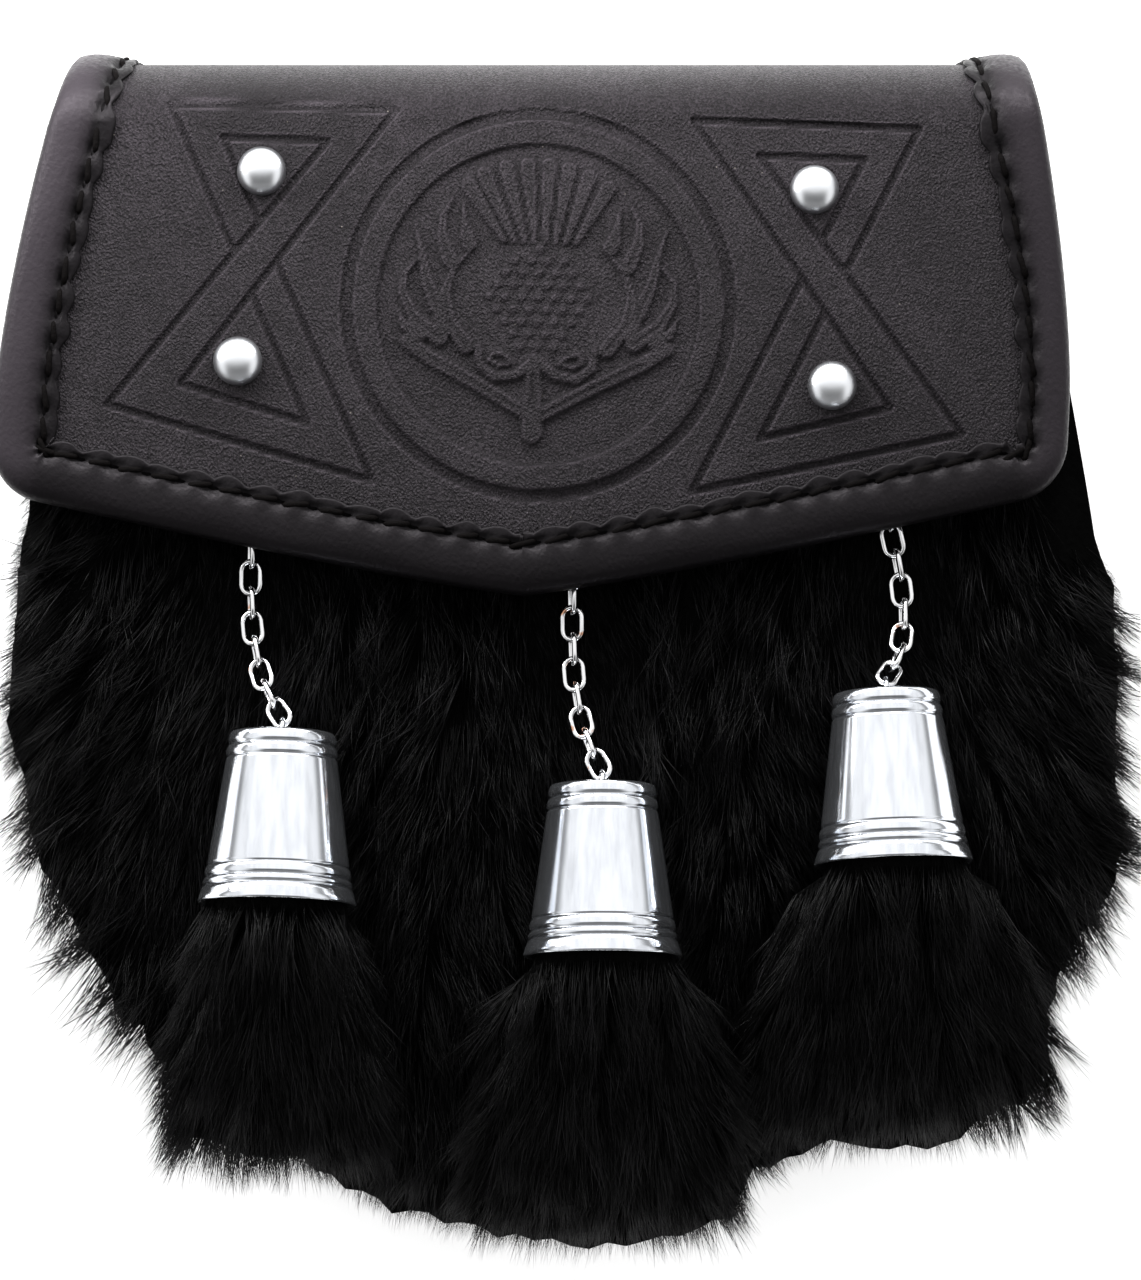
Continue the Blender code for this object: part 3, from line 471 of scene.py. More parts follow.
def crossing(first, second):
    """Where two straight lines cross."""
    (ax, ay), (bx, by) = first
    (cx, cy), (dx, dy) = second
    below = (bx - ax) * (dy - cy) - (by - ay) * (dx - cx)
    share = ((cx - ax) * (dy - cy) - (cy - ay) * (dx - cx)) / below
    return ax + share * (bx - ax), ay + share * (by - ay)


def ribbon_grooves(u, v):
    """The grooves that edge one hourglass of interlaced ribbon, on the side where u is positive."""
    over = (((26.1, 33.4), (62.1, -15.9)), ((37.8, 27.5), (74.9, -20.0)))
    under = (((65.6, 33.2), (39.6, -22.1)), ((56.2, 27.5), (28.0, -31.8)))
    lines = [over[0], over[1], ((26.1, 33.4), (65.6, 33.2)), ((37.8, 27.5), (56.2, 27.5)),
             ((28.0, -31.8), (74.9, -20.0)), ((39.6, -22.1), (62.1, -15.9))]
    for line in under:
        upper, lower = crossing(line, over[1]), crossing(line, over[0])
        lines += [(line[0], upper), (lower, line[1])]
    made = np.zeros_like(u)
    for start, end in lines:
        distance, _ = segment_distance(u, v, start, end)
        made = np.maximum(made, inside(distance, 0.55, 0.45))
    return made


def thistle(u, v):
    """A plain thistle: petals, a scaled bulb, curling leaves, scrolls, a stem and a bent leaf below."""
    raised = np.zeros_like(u)
    tips = ((-12.9, 20.6), (-10.2, 22.6), (-6.4, 23.9), (-2.6, 24.4), (1.1, 24.4), (4.6, 23.9),
            (8.2, 22.8), (11.6, 20.8))
    for number, tip in enumerate(tips):
        base = (-6.4 + number * 1.82, 11.0)
        raised = np.maximum(raised, stroke(u, v, (base, tip), 0.55, 1.45, 0.5))
    bulb = inside(np.hypot(u + 0.1, (v - 0.9) * 0.97), 10.2, 0.6)
    scales = np.zeros_like(u)
    for row in range(-4, 5):
        middle_v = 1.2 + row * 2.15
        for column in range(-3, 4):
            middle_u = (column + 0.5 * (row % 2)) * 2.9
            if math.hypot(middle_u, middle_v - 0.9) < 9.2:
                scales = np.maximum(scales, inside(np.hypot(u - middle_u, v - middle_v), 0.78, 0.58))
    raised = np.maximum(raised, bulb * (0.30 + 0.70 * scales))
    leaves = (
        ((12.3, -7.6), (15.4, -3.4), (16.3, 1.6), (14.9, 6.0), (11.8, 9.4)),
        ((17.0, -6.4), (21.3, -3.2), (23.7, 1.2), (23.6, 4.6), (21.4, 7.2)),
        ((17.6, -1.0), (19.6, 3.6), (20.6, 8.4), (22.0, 13.4)),
        ((15.6, 7.2), (17.2, 11.2), (17.2, 14.8), (15.4, 18.6)),
        ((12.4, 10.4), (13.4, 13.4), (13.6, 17.2)),
        ((16.0, -4.6), (18.2, 0.0), (19.3, 2.6)),
        ((20.4, -5.6), (23.2, -4.6), (24.4, -2.0)),
    )
    for side in (-1, 1):
        for leaf in leaves:
            raised = np.maximum(raised, stroke(side * u, v, leaf, 1.5, 0.25, 0.5))
        for leaf in leaves[:4]:
            raised -= 0.45 * stroke(side * u, v, leaf[:-1], 0.22, 0.1, 0.4) * (raised > 0.4)
        scroll = ((0.8, -10.3), (3.6, -12.5), (7.2, -13.0), (9.8, -11.0), (10.2, -7.9))
        curl = ((3.9, -10.5), (5.2, -9.2), (7.4, -8.6), (8.2, -10.0), (6.6, -10.9), (4.9, -10.7))
        raised = np.maximum(raised, stroke(side * u, v, scroll, 0.95, 0.75, 0.5))
        raised = np.maximum(raised, 0.8 * stroke(side * u, v, curl, 0.45, 0.45, 0.4))
        bent = ((0.0, -20.0), (10.0, -14.4), (18.6, -10.0), (22.6, -7.2))
        raised = np.maximum(raised, stroke(side * u, v, bent, 1.25, 1.35, 0.5))
        raised -= 0.4 * stroke(side * u, v, bent[:-1], 0.3, 0.3, 0.4)
    stem = stroke(u, v, ((-0.4, -9.8), (-0.4, -22.6)), 1.2, 1.9, 0.5)
    stem -= 0.5 * stroke(u, v, ((-0.4, -12.4), (-0.4, -18.4)), 0.4, 0.4, 0.4)
    return np.clip(np.maximum(raised, stem), 0.0, 1.0)


def stamp_height(x, y):
    """How far the stamp moves the flap's face, for places in metres."""
    dx, dy = x / MM - STAMP_X, y / MM - STAMP_Y
    u = dx * math.cos(STAMP_TURN) - dy * math.sin(STAMP_TURN)
    v = dx * math.sin(STAMP_TURN) + dy * math.cos(STAMP_TURN)
    radius = np.hypot(u, v)
    groove = inside(np.abs(radius - RING_OUTER + RING_GROOVE / 2), RING_GROOVE / 2, 0.5)
    disc = inside(radius, RING_INNER, 0.6)
    pressed = np.maximum(groove, disc * (1 - 0.92 * thistle(u, v)))
    pressed = np.maximum(pressed, np.maximum(ribbon_grooves(u, v), ribbon_grooves(-u, v)))
    band = inside(np.abs(radius - RING_BAND), RING_BAND_HALF, 2.2)
    return (-STAMP_DEPTH * pressed + RING_BAND_RISE * band) * MM


def stamp_crease(x, y):
    """Where the stamp's walls are steep, 0 to 1: how much painted shade goes there."""
    step = 0.12 * MM
    slope_x = (stamp_height(x + step, y) - stamp_height(x - step, y)) / (2 * step)
    slope_y = (stamp_height(x, y + step) - stamp_height(x, y - step)) / (2 * step)
    return np.clip((np.hypot(slope_x, slope_y) - 0.12) / 1.1, 0.0, 1.0)


def stamp_rubbed(x, y):
    """Where the stamp leaves a raised edge, 0 to 1: how much painted highlight goes there."""
    step = 0.45 * MM
    around = (stamp_height(x + step, y) + stamp_height(x - step, y) + stamp_height(x, y + step)
              + stamp_height(x, y - step)) / 4
    return np.clip((stamp_height(x, y) - around - 0.04 * MM) / (0.12 * MM), 0.0, 1.0)


# Building

def set_values(mesh, **attributes):
    """Writes a number or a vector for each point, under the attribute's name."""
    for name, values in attributes.items():
        values = np.asarray(values, np.float32)
        kind, field = ("FLOAT", "value") if values.ndim == 1 else ("FLOAT_VECTOR", "vector")
        layer = mesh.attributes.get(name) or mesh.attributes.new(name, kind, "POINT")
        layer.data.foreach_set(field, values.ravel())


def new_object(name, data):
    """An object in the scene, at its origin."""
    made = bpy.data.objects.new(name, data)
    bpy.context.scene.collection.objects.link(made)
    return made


def mesh_object(name, points, faces, finish=None, **attributes):
    """A smooth mesh in an object of its own, with its finish and what its points carry."""
    mesh = bpy.data.meshes.new(name)
    mesh.from_pydata([tuple(point) for point in points], [], faces)
    set_values(mesh, **attributes)
    if finish is not None:
        mesh.materials.append(finish)
    mesh.shade_smooth()
    return new_object(name, mesh)


def grid_faces(rows, columns, start=0, turned=False, closed=False, looped=False):
    """Faces between rows of points. Closed joins the last column to the first, and looped the rows."""
    faces = []
    for row in range(rows if looped else rows - 1):
        here, there = start + row * columns, start + (row + 1) % rows * columns
        for step in range(columns if closed else columns - 1):
            following = (step + 1) % columns
            face = (here + step, here + following, there + following, there + step)
            faces.append(face[::-1] if turned else face)
    return faces


def end_caps(rings, sides, start=0):
    """One face for each end of a tube."""
    last = start + (rings - 1) * sides
    return [tuple(range(start + sides - 1, start - 1, -1)), tuple(range(last, last + sides))]


def end_fans(rings, sides, first, last):
    """Triangles from each end ring of a tube to a point of its own."""
    faces, end = [], (rings - 1) * sides
    for step in range(sides):
        following = (step + 1) % sides
        faces.append((following, step, first))
        faces.append((end + step, end + following, last))
    return faces


def ring_points(middle, across, up, sides):
    """Points round a middle on an oval, whose half axes are the vectors across and up."""
    angles = [2 * math.pi * step / sides for step in range(sides)]
    return [middle + across * math.cos(angle) + up * math.sin(angle) for angle in angles]


def outwards(made):
    """Turns the faces of a piece's closed bodies outwards."""
    work = bmesh.new()
    work.from_mesh(made.data)
    bmesh.ops.recalc_face_normals(work, faces=work.faces)
    work.to_mesh(made.data)
    work.free()


def settled(piece, slot, *nodes):
    """Puts a finished piece on the body, in place of the solids that it stands for."""
    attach(piece, "root")
    if nodes:
        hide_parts(*nodes)


def make_flap(finish):
    """The cover with its stamp: a fine outer face, and a plain underside in a few wide strips."""
    half_x, half_y = flap_edge_half(bottom_steps=192, arc_steps=9)
    edge_x = np.concatenate([-half_x[:0:-1], half_x])
    edge_y = np.concatenate([half_y[:0:-1], half_y])
    shares = edge_x / flap_half_width(edge_y)
    front_rows, fold_rows, apron_rows, strips = 190, 40, 4, 12
    top, normals, creased, rubbed = [], [], [], []

    def across(y):
        return shares * flap_half_width(y) + flap_centre(y)

    def add_row(x, y, z, normal, strength):
        """A row of the face. The stamp presses it along its normal, fading where it turns away."""
        y = np.full_like(x, y)
        pressed = stamp_height(x, y) * strength
        top.append(np.stack([x, y + SHIFT_Y + pressed * normal.y, z + pressed * normal.z], 1))
        normals.append(normal)
        # Painted shade on the stamp's steep walls and a painted highlight on its raised edges, faded where
        # the face turns away.
        creased.append(stamp_crease(x, y) * strength)
        rubbed.append(stamp_rubbed(x, y) * strength)

    for row in range(front_rows):
        y = mix(edge_y, FOLD_START, row / front_rows)
        add_row(across(y), y, flap_height(across(y), y), UP, 1.0)
    for row in range(fold_rows + 1):
        angle = math.pi * (row / fold_rows) ** 1.8
        y, z = fold_place(angle)
        add_row(across(y), y, z, fold_normal(angle), smooth(1.6 - angle * 1.6))
    for row in range(1, apron_rows + 1):
        y = FOLD_START - APRON_LENGTH * row / apron_rows
        add_row(across(FOLD_START), y, APRON_FACE, -UP, 0.0)

    rows, columns = len(top), len(edge_x)
    picks = [round(step * (columns - 1) / strips) for step in range(strips + 1)]
    wall = FLAP_THICKNESS - 0.1 * MM
    under = [row[picks] - np.array(normal) * wall for row, normal in zip(top, normals)]
    base = rows * columns
    faces = grid_faces(rows, columns) + grid_faces(rows, len(picks), base, turned=True)
    for row in range(rows - 1):
        left, right = row * columns, row * columns + columns - 1
        low_left, low_right = base + row * len(picks), base + (row + 1) * len(picks) - 1
        faces.append((left, left + columns, low_left + len(picks), low_left))
        faces.append((right + columns, right, low_right, low_right + len(picks)))
    end, low_end = (rows - 1) * columns, base + (rows - 1) * len(picks)
    for step in range(strips):
        edge = list(range(picks[step], picks[step + 1] + 1))
        faces.append(tuple(edge[::-1]) + (base + step, base + step + 1))
        faces.append(tuple(end + number for number in edge) + (low_end + step + 1, low_end + step))
    plain = [np.zeros(rows * len(picks))]
    made = mesh_object("flap_stamped", np.concatenate(top + under), faces, finish,
                       crease=np.concatenate(creased + plain), rubbed=np.concatenate(rubbed + plain))
    settled(made, "flap_leather", "flap")


def binding_route(fold_steps):
    """Stations along the flap's edge, from behind the fold on the left round to the right: places,
    outward normals of the face, directions inwards, the binding's width and the length of the way."""
    side_steps = 60
    half_x, half_y = flap_edge_half(bottom_steps=110, arc_steps=16)
    places = []
    for step in range(fold_steps, -1, -1):
        angle = math.pi * step / fold_steps
        y, z = fold_place(angle)
        places.append((-flap_half_width(y), y, z, fold_normal(angle)))
    for step in range(1, side_steps):
        y = mix(FOLD_START, half_y[-1], step / side_steps)
        places.append((-flap_half_width(y), y, None, None))
    places += [(-x, y, None, None) for x, y in zip(half_x[:0:-1], half_y[:0:-1])]
    mirrored = [(-x, y, z, normal) for x, y, z, normal in reversed(places)]
    places += [(0.0, half_y[0], None, None)] + mirrored
    corner_x, _ = flap_corner()
    stations = []
    for x, y, z, normal in places:
        width = mix(BINDING_WIDTH, BINDING_WIDTH_RIGHT, float(smooth((x - corner_x) / FLAP_CORNER_RADIUS)))
        folded = normal is not None
        world_x = x + float(flap_centre(y))
        if not folded:
            z = float(flap_height(world_x, y))
            step = MM
            slope_x = (flap_height(world_x + step, y) - flap_height(world_x - step, y)) / (2 * step)
            slope_y = (flap_height(world_x, y + step) - flap_height(world_x, y - step)) / (2 * step)
            normal = Vector((-float(slope_x), -float(slope_y), 1)).normalized()
        stations.append({"place": Vector((world_x, float(y) + SHIFT_Y, float(z))), "normal": normal,
                         "width": width, "side": (1 if x < 0 else -1) if folded else 0})
    way = 0.0
    for number, station in enumerate(stations):
        before = stations[max(0, number - 1)]["place"]
        after = stations[min(len(stations) - 1, number + 1)]["place"]
        inwards = station["normal"].cross((after - before).normalized()).normalized()
        station["inwards"] = Vector((station["side"], 0, 0)) if station["side"] else inwards
        way += (station["place"] - before).length
        station["way"] = way
    return stations


def binding_section(width, phase):
    """The strip's cut as (inwards, rise) from the flap's edge, round from its scalloped inner edge."""
    wave = abs(math.sin(phase / 2)) ** 0.7
    jitter = 0.35 * math.sin(phase * 0.37) + 0.25 * math.sin(phase * 0.83 + 1)
    reach = width + 1.5 * MM + SCALLOP * (wave * 1.4 + jitter)
    pinch = 0.6 * MM * math.cos(phase)
    swell = 0.12 * MM * math.sin(phase * 0.21)
    back = -FLAP_THICKNESS - GAP
    return (
        (reach, GAP), (reach, GAP + 0.45 * MM), (reach - 0.5 * MM, GAP + 0.7 * MM),
        (width + 0.9 * MM, GAP + 0.6 * MM), (width, GAP + 0.25 * MM - pinch),
        (width - 0.8 * MM, GAP + 0.75 * MM - pinch * 0.6), (width - 1.7 * MM, GAP + 1.25 * MM + swell),
        (width * 0.55, GAP + 1.55 * MM + swell), (width * 0.3, GAP + 1.6 * MM + swell),
        (width * 0.1, GAP + 1.45 * MM), (-0.4 * MM, GAP + 1.1 * MM), (-1.1 * MM, GAP + 0.35 * MM),
        (-1.5 * MM, -0.8 * MM), (-1.5 * MM, back + 0.4 * MM), (-1.1 * MM, back - 0.5 * MM),
        (-0.3 * MM, back - 1.1 * MM), (1.2 * MM, back - 1.2 * MM), (BINDING_BACK_WIDTH, back - 1.1 * MM),
        (BINDING_BACK_WIDTH, back), (0.0, back), (-GAP, back + GAP), (-GAP, 0.0), (0.2 * MM, GAP),
    )


def make_binding(finish):
    """The wrapped strip: a rolled band outside the thonging and a scalloped edge inside it."""
    stations = binding_route(fold_steps=60)
    points, creased, rubbed = [], [], []
    for station in stations:
        phase = 2 * math.pi * station["way"] / STITCH_PITCH
        section = binding_section(station["width"], phase)
        # Painted shade under the scalloped edge and along the thonging's groove, deepest at the stitch
        # holes.
        hole = 0.25 + 0.75 * (0.5 + 0.5 * math.cos(phase)) ** 2
        dark = {0: 1.0, 1: 0.8, 3: 0.5 + 0.5 * hole, 4: 0.8 + 0.2 * hole, 5: 0.5 * hole}
        # Painted highlight along the rolled band, on the sides only and stronger on the left.
        painted_sheen = {6: 0.4, 7: 0.8, 8: 1.0, 9: 1.0, 10: 0.9, 11: 0.5}
        side_sheen = station["inwards"].x ** 2 * (0.62 if station["inwards"].x > 0 else 0.42)
        for number, (inward, rise) in enumerate(section):
            points.append(station["place"] + station["inwards"] * inward + station["normal"] * rise)
            creased.append(dark.get(number, 0.0))
            rubbed.append(painted_sheen.get(number, 0.0) * side_sheen)
    rings, count = len(stations), len(section)
    faces = grid_faces(rings, count, closed=True, turned=True)
    faces += [face[::-1] for face in end_caps(rings, count)]
    made = mesh_object("flap_binding_rolled", points, faces, finish, crease=creased, rubbed=rubbed)
    settled(made, "binding_leather", "flap_binding")


# What repeats

def new_tree(name, inputs):
    """A geometry tree with inputs of (name, kind, value), their identifiers by name, and its maker."""
    tree = bpy.data.node_groups.new(name, "GeometryNodeTree")
    tree.interface.new_socket("Geometry", in_out="INPUT", socket_type="NodeSocketGeometry")
    keys = {}
    for title, kind, value in inputs:
        made = tree.interface.new_socket(title, in_out="INPUT", socket_type="NodeSocket" + kind)
        if value is not None:
            made.default_value = value
        keys[title] = made.identifier
    tree.interface.new_socket("Geometry", in_out="OUTPUT", socket_type="NodeSocketGeometry")
    return tree, keys, Maker(tree)


def end_tree(maker, given, placed):
    """Makes the copies real and gives them their finish."""
    real = maker.node("GeometryNodeRealizeInstances", {}, {"Geometry": placed})
    finished = maker.node("GeometryNodeSetMaterial", {},
                          {"Geometry": real, "Material": maker.beside(given, "Finish")})
    maker.node("NodeGroupOutput", {}, {"Geometry": finished})


def scatter_tree():
    """Puts a copy of an object at each point of a mesh, turned and scaled by the point's attributes."""
    tree, keys, maker = new_tree("scatter", (("Copied Object", "Object", None),
                                             ("Finish", "Material", None)))
    given = maker.node("NodeGroupInput")
    copied = maker.node("GeometryNodeObjectInfo", {}, {"Object": maker.beside(given, "Copied Object")},
                        "Geometry")
    rotation = maker.node("FunctionNodeEulerToRotation", {}, {0: maker.carried("turn", "FLOAT_VECTOR")})
    placed = maker.node("GeometryNodeInstanceOnPoints", {},
                        {"Points": given, "Instance": copied, "Rotation": rotation,
                         "Scale": maker.carried("size", "FLOAT_VECTOR")})
    end_tree(maker, given, placed)
    return tree, keys


def fur_tree():
    """Grows hairs from a skin. The skin's attributes give their density, direction, length and lift."""
    tree, keys, maker = new_tree("fur", (
        ("Hair Shapes", "Collection", None), ("Seed", "Int", 1), ("Density", "Float", 1e6),
        ("Clump Size", "Float", 6 * MM), ("Clump Pull", "Float", CLUMP_PULL), ("Stray", "Float", 0.12),
        ("Finish", "Material", None)))
    given = maker.node("NodeGroupInput")

    def chance(low, high, offset, kind="FLOAT"):
        """A random number or vector for each hair."""
        numbers = {"FLOAT": (2, 3, 1), "FLOAT_VECTOR": (0, 1, 0)}[kind]
        seed = maker.beside(given, "Seed") + offset
        return maker.node("FunctionNodeRandomValue", {"data_type": kind},
                          {numbers[0]: low, numbers[1]: high, "Seed": seed}, numbers[2])

    density = maker.beside(given, "Density") * maker.carried("growth")
    points = maker.node("GeometryNodeDistributePointsOnFaces", {},
                        {"Mesh": given, "Density": density, "Seed": maker.beside(given, "Seed")}, "Points")
    captured = maker.node("GeometryNodeStoreNamedAttribute",
                          {"data_type": "FLOAT_VECTOR", "domain": "POINT"},
                          {"Geometry": points, "Name": "stands", "Value": maker.beside(points, "Normal")})
    stands = maker.carried("stands", "FLOAT_VECTOR")
    place = maker.node("GeometryNodeInputPosition")
    cell = maker.node("ShaderNodeTexVoronoi", {},
                      {"Vector": place, "Scale": 1 / maker.beside(given, "Clump Size")}, "Position")
    length = maker.carried("length") * chance(0.72, 1.12, 11)
    towards = maker.scaled(maker.vector("SUBTRACT", cell, place), maker.beside(given, "Clump Pull") * length)
    lifted = maker.scaled(stands, maker.carried("lift") * chance(0.75, 1.30, 12))
    stray = maker.scaled(chance((-1, -1, -1), (1, 1, 1), 13, "FLOAT_VECTOR"), maker.beside(given, "Stray"))
    leaning = maker.vector("ADD", maker.carried("comb", "FLOAT_VECTOR"), towards)
    direction = maker.vector("NORMALIZE", maker.vector("ADD", maker.vector("ADD", leaning, lifted), stray))
    first = maker.node("FunctionNodeAlignRotationToVector", {"axis": "Z"}, {"Vector": direction})
    rotation = maker.node("FunctionNodeAlignRotationToVector", {"axis": "X", "pivot_axis": "Z"},
                          {"Rotation": first, "Vector": stands})
    shapes = maker.node("GeometryNodeCollectionInfo", {},
                        {"Collection": maker.beside(given, "Hair Shapes"), "Separate Children": True,
                         "Reset Children": True})
    placed = maker.node("GeometryNodeInstanceOnPoints", {},
                        {"Points": captured, "Instance": shapes, "Pick Instance": True,
                         "Rotation": rotation, "Scale": length})
    toned = maker.node("GeometryNodeStoreNamedAttribute", {"data_type": "FLOAT", "domain": "INSTANCE"},
                       {"Geometry": placed, "Name": "tone", "Value": chance(0.0, 1.0, 14)})
    end_tree(maker, given, toned)
    return tree, keys


def grown(name, holder, growing, values, keep=()):
    """Runs a node tree on an object and keeps the result as a plain mesh in an object of its own."""
    tree, keys = growing
    modifier = holder.modifiers.new("growth", "NODES")
    modifier.node_group = tree
    for title, value in values.items():
        modifier[keys[title]] = value
    bpy.context.view_layer.update()
    shown = holder.evaluated_get(bpy.context.evaluated_depsgraph_get())
    mesh = bpy.data.meshes.new_from_object(shown)
    holder.modifiers.remove(modifier)
    mesh.name = name
    spare = [layer.name for layer in mesh.attributes
             if not (layer.is_required or layer.data_type == "BOOLEAN" or layer.name.startswith(".")
                     or layer.name in ("material_index", *keep))]
    for label in spare:
        mesh.attributes.remove(mesh.attributes[label])
    mesh.shade_smooth()
    return new_object(name, mesh)


def scattered(name, part, places, finish):
    """Copies of a part at places of (point, matrix of its turn, size)."""
    points, turns, sizes = zip(*places)
    holder = mesh_object(name + "_places", points, [], turn=[tuple(turn.to_euler("XYZ")) for turn in turns],
                         size=sizes)
    made = grown(name, holder, SCATTER, {"Copied Object": part, "Finish": finish})
    bpy.data.objects.remove(holder)
    return made


def turn_matrix(x_axis, z_hint):
    """The turn that lays X along an axis, with Z as near to the hint as it goes."""
    x_axis = x_axis.normalized()
    z_axis = (z_hint - x_axis * z_hint.dot(x_axis)).normalized()
    return Matrix((x_axis, z_axis.cross(x_axis), z_axis)).transposed()


def stitch_part():
    """One thick stitch, long along X, its ends sunk."""
    rings, sides = 9, 8
    points = []
    for ring in range(rings):
        share = ring / (rings - 1)
        end = (2 * share - 1) ** 4
        radius = STITCH_RADIUS * math.sqrt(max(0.0, 1 - end)) + 0.05 * MM
        middle = Vector(((share - 0.5) * STITCH_LENGTH, 0, -0.9 * MM * end))
        points += ring_points(middle, Vector((0, radius * 1.15, 0)), UP * radius * 0.8, sides)
    faces = grid_faces(rings, sides, closed=True) + end_caps(rings, sides)
    return mesh_object("stitch_part", points, faces)


def make_stitches(finish):
    """The thonging along the inner side of the binding."""
    part = stitch_part()
    stations = binding_route(fold_steps=40)
    places = []
    for number in range(int(stations[-1]["way"] / STITCH_PITCH)):
        station = next(station for station in stations if station["way"] >= (number + 0.5) * STITCH_PITCH)
        inwards, normal = station["inwards"], station["normal"]
        along = normal.cross(inwards) * -1
        place = station["place"] + inwards * (station["width"] + 0.1 * MM) + normal * (GAP + 0.75 * MM)
        swing = 0.16 + 0.08 * math.sin(number * 2.4)
        x_axis = along * math.cos(swing) + inwards * math.sin(swing)
        length = 0.98 + 0.1 * math.sin(number * 1.7)
        places.append((place, turn_matrix(x_axis, normal), (length, 1.0, 1.0)))
    made = scattered("flap_thonging", part, places, finish)
    bpy.data.objects.remove(part)
    settled(made, "binding_leather")


def link_part():
    """One oval link, long along X, its wire round."""
    bend = (LINK_WIDTH - LINK_WIRE) / 2
    straight = (LINK_LENGTH - LINK_WIDTH) / 2
    centres, sides, bend_steps = [], 10, 10
    for end in (1, -1):
        for step in range(bend_steps):
            angle = math.pi * (step / (bend_steps - 1) - 0.5)
            place = (straight + bend * math.cos(angle), bend * math.sin(angle), 0)
            centres.append(Vector(place) * end)
    points = []
    for number, centre in enumerate(centres):
        along = centres[(number + 1) % len(centres)] - centres[number - 1]
        out = along.cross(UP).normalized()
        points += ring_points(centre, out * LINK_WIRE / 2, UP * LINK_WIRE / 2, sides)
    faces = grid_faces(len(centres), sides, turned=True, closed=True, looped=True)
    return mesh_object("link_part", points, faces)


def link_names(row):
    """The names of a chain's solids."""
    return [f"link_{row['side']}_{number + 1:02d}" for number in range(row["links"])]


def node_points(name):
    """The points of a solid's mesh."""
    mesh = frame["nodes"][name].data
    flat = np.zeros(len(mesh.vertices) * 3)
    mesh.vertices.foreach_get("co", flat)
    return flat.reshape(-1, 3)


def make_chain(row, part, finish):
    """The links where their solids are, turned as they are turned."""
    places = []
    for name in link_names(row):
        cloud = node_points(name)
        middle = cloud.mean(0)
        _, _, axes = np.linalg.svd(cloud - middle, full_matrices=False)
        places.append((Vector(middle), turn_matrix(Vector(axes[0]), Vector(axes[2])), (1, 1, 1)))
    made = scattered(f"chain_{row['side']}", part, places, finish)
    settled(made, "chrome", *link_names(row))


def cone_axis(row):
    """The way a bell points, from its top to its mouth, lying along its lower side."""
    lean = math.radians(row["lean"])
    taper = math.atan((CONE_BASE_RADIUS - CONE_TOP_RADIUS) / CONE_LENGTH)
    return Vector((math.sin(lean), -math.cos(lean), 0)) * math.cos(taper) + UP * math.sin(taper)


def cone_mouth(row):
    """The middle of a bell's mouth, from its solid's rim."""
    cloud = node_points(f"cone_{row['side']}")
    axis = np.array(cone_axis(row))
    along = cloud @ axis
    return Vector(cloud[along > along.max() - 0.05 * MM].mean(0))


def bell_profile():
    """The bell's outer side from top to mouth and back up its inner side, as (radius, way down)."""
    rings = (  # share of the way down, and how far the side stands out, in beads
        (0.000, -1.2), (0.004, -0.3), (0.012, 0.15), (0.030, 0.4), (0.055, 0.4), (0.070, 0.1), (0.076, -0.5),
        (0.082, -0.5), (0.088, 0.05), (0.105, 0.35), (0.130, 0.3), (0.143, 0.05), (0.149, -0.5),
        (0.155, -0.5), (0.161, -0.05), (0.165, 0.0), (0.172, 0.0), (0.320, 0.0), (0.470, 0.0), (0.620, 0.0),
        (0.762, 0.0), (0.769, 0.0), (0.774, -0.05), (0.779, -0.5), (0.785, -0.5), (0.791, 0.05),
        (0.810, 0.35), (0.832, 0.3), (0.846, 0.05), (0.851, -0.5), (0.857, -0.5), (0.863, 0.1), (0.880, 0.4),
        (0.893, 0.15), (0.898, -0.4), (0.905, -0.4), (0.911, 0.15), (0.935, 0.55), (0.965, 0.85),
        (0.988, 1.1), (1.000, 0.7),
    )
    outer = [(mix(CONE_TOP_RADIUS, CONE_BASE_RADIUS, down) + CONE_BEAD * bead, CONE_LENGTH * down)
             for down, bead in rings]
    crown = [((CONE_TOP_RADIUS - CONE_WALL) * share, -0.35 * MM * (1 - share ** 2))
             for share in (0.25, 0.5, 0.75, 0.92)]
    inner = [(mix(CONE_TOP_RADIUS, CONE_BASE_RADIUS, down) - CONE_WALL, CONE_LENGTH * down)
             for down in (0.995, 0.8, 0.5, 0.1)]
    return crown + outer + inner


def make_bell(row, finish):
    """A turned bell with its beads, and the wire eye on its top."""
    profile, sides = bell_profile(), 72
    axis, mouth = cone_axis(row), cone_mouth(row)
    top = mouth - axis * CONE_LENGTH
    side_axis = axis.cross(UP).normalized()
    rise_axis = side_axis.cross(axis)
    points = []
    for radius, down in profile:
        points += ring_points(top + axis * down, side_axis * radius, rise_axis * radius, sides)
    points += [top - axis * 0.4 * MM, top + axis * CONE_LENGTH * 0.1]
    faces = grid_faces(len(profile), sides, closed=True)
    faces += end_fans(len(profile), sides, len(points) - 2, len(points) - 1)
    start, eye_rings, eye_sides = len(points), 19, 8
    centres = []
    for step in range(eye_rings):
        angle = math.pi * step / (eye_rings - 1)
        rise = (EYE_HEIGHT + EYE_SUNK) * math.sin(angle) ** 0.8 - EYE_SUNK
        centres.append(rise_axis * (EYE_WIDTH - EYE_WIRE) / 2 * math.cos(angle) - axis * rise)
    for number, centre in enumerate(centres):
        along = centres[min(eye_rings - 1, number + 1)] - centres[max(0, number - 1)]
        out = along.cross(side_axis).normalized()
        points += ring_points(top + centre, side_axis * EYE_WIRE / 2, out * EYE_WIRE / 2, eye_sides)
    faces += grid_faces(eye_rings, eye_sides, start, closed=True) + end_caps(eye_rings, eye_sides, start)
    made = mesh_object(f"bell_{row['side']}", points, faces, finish)
    outwards(made)
    settled(made, "chrome", f"cone_{row['side']}")


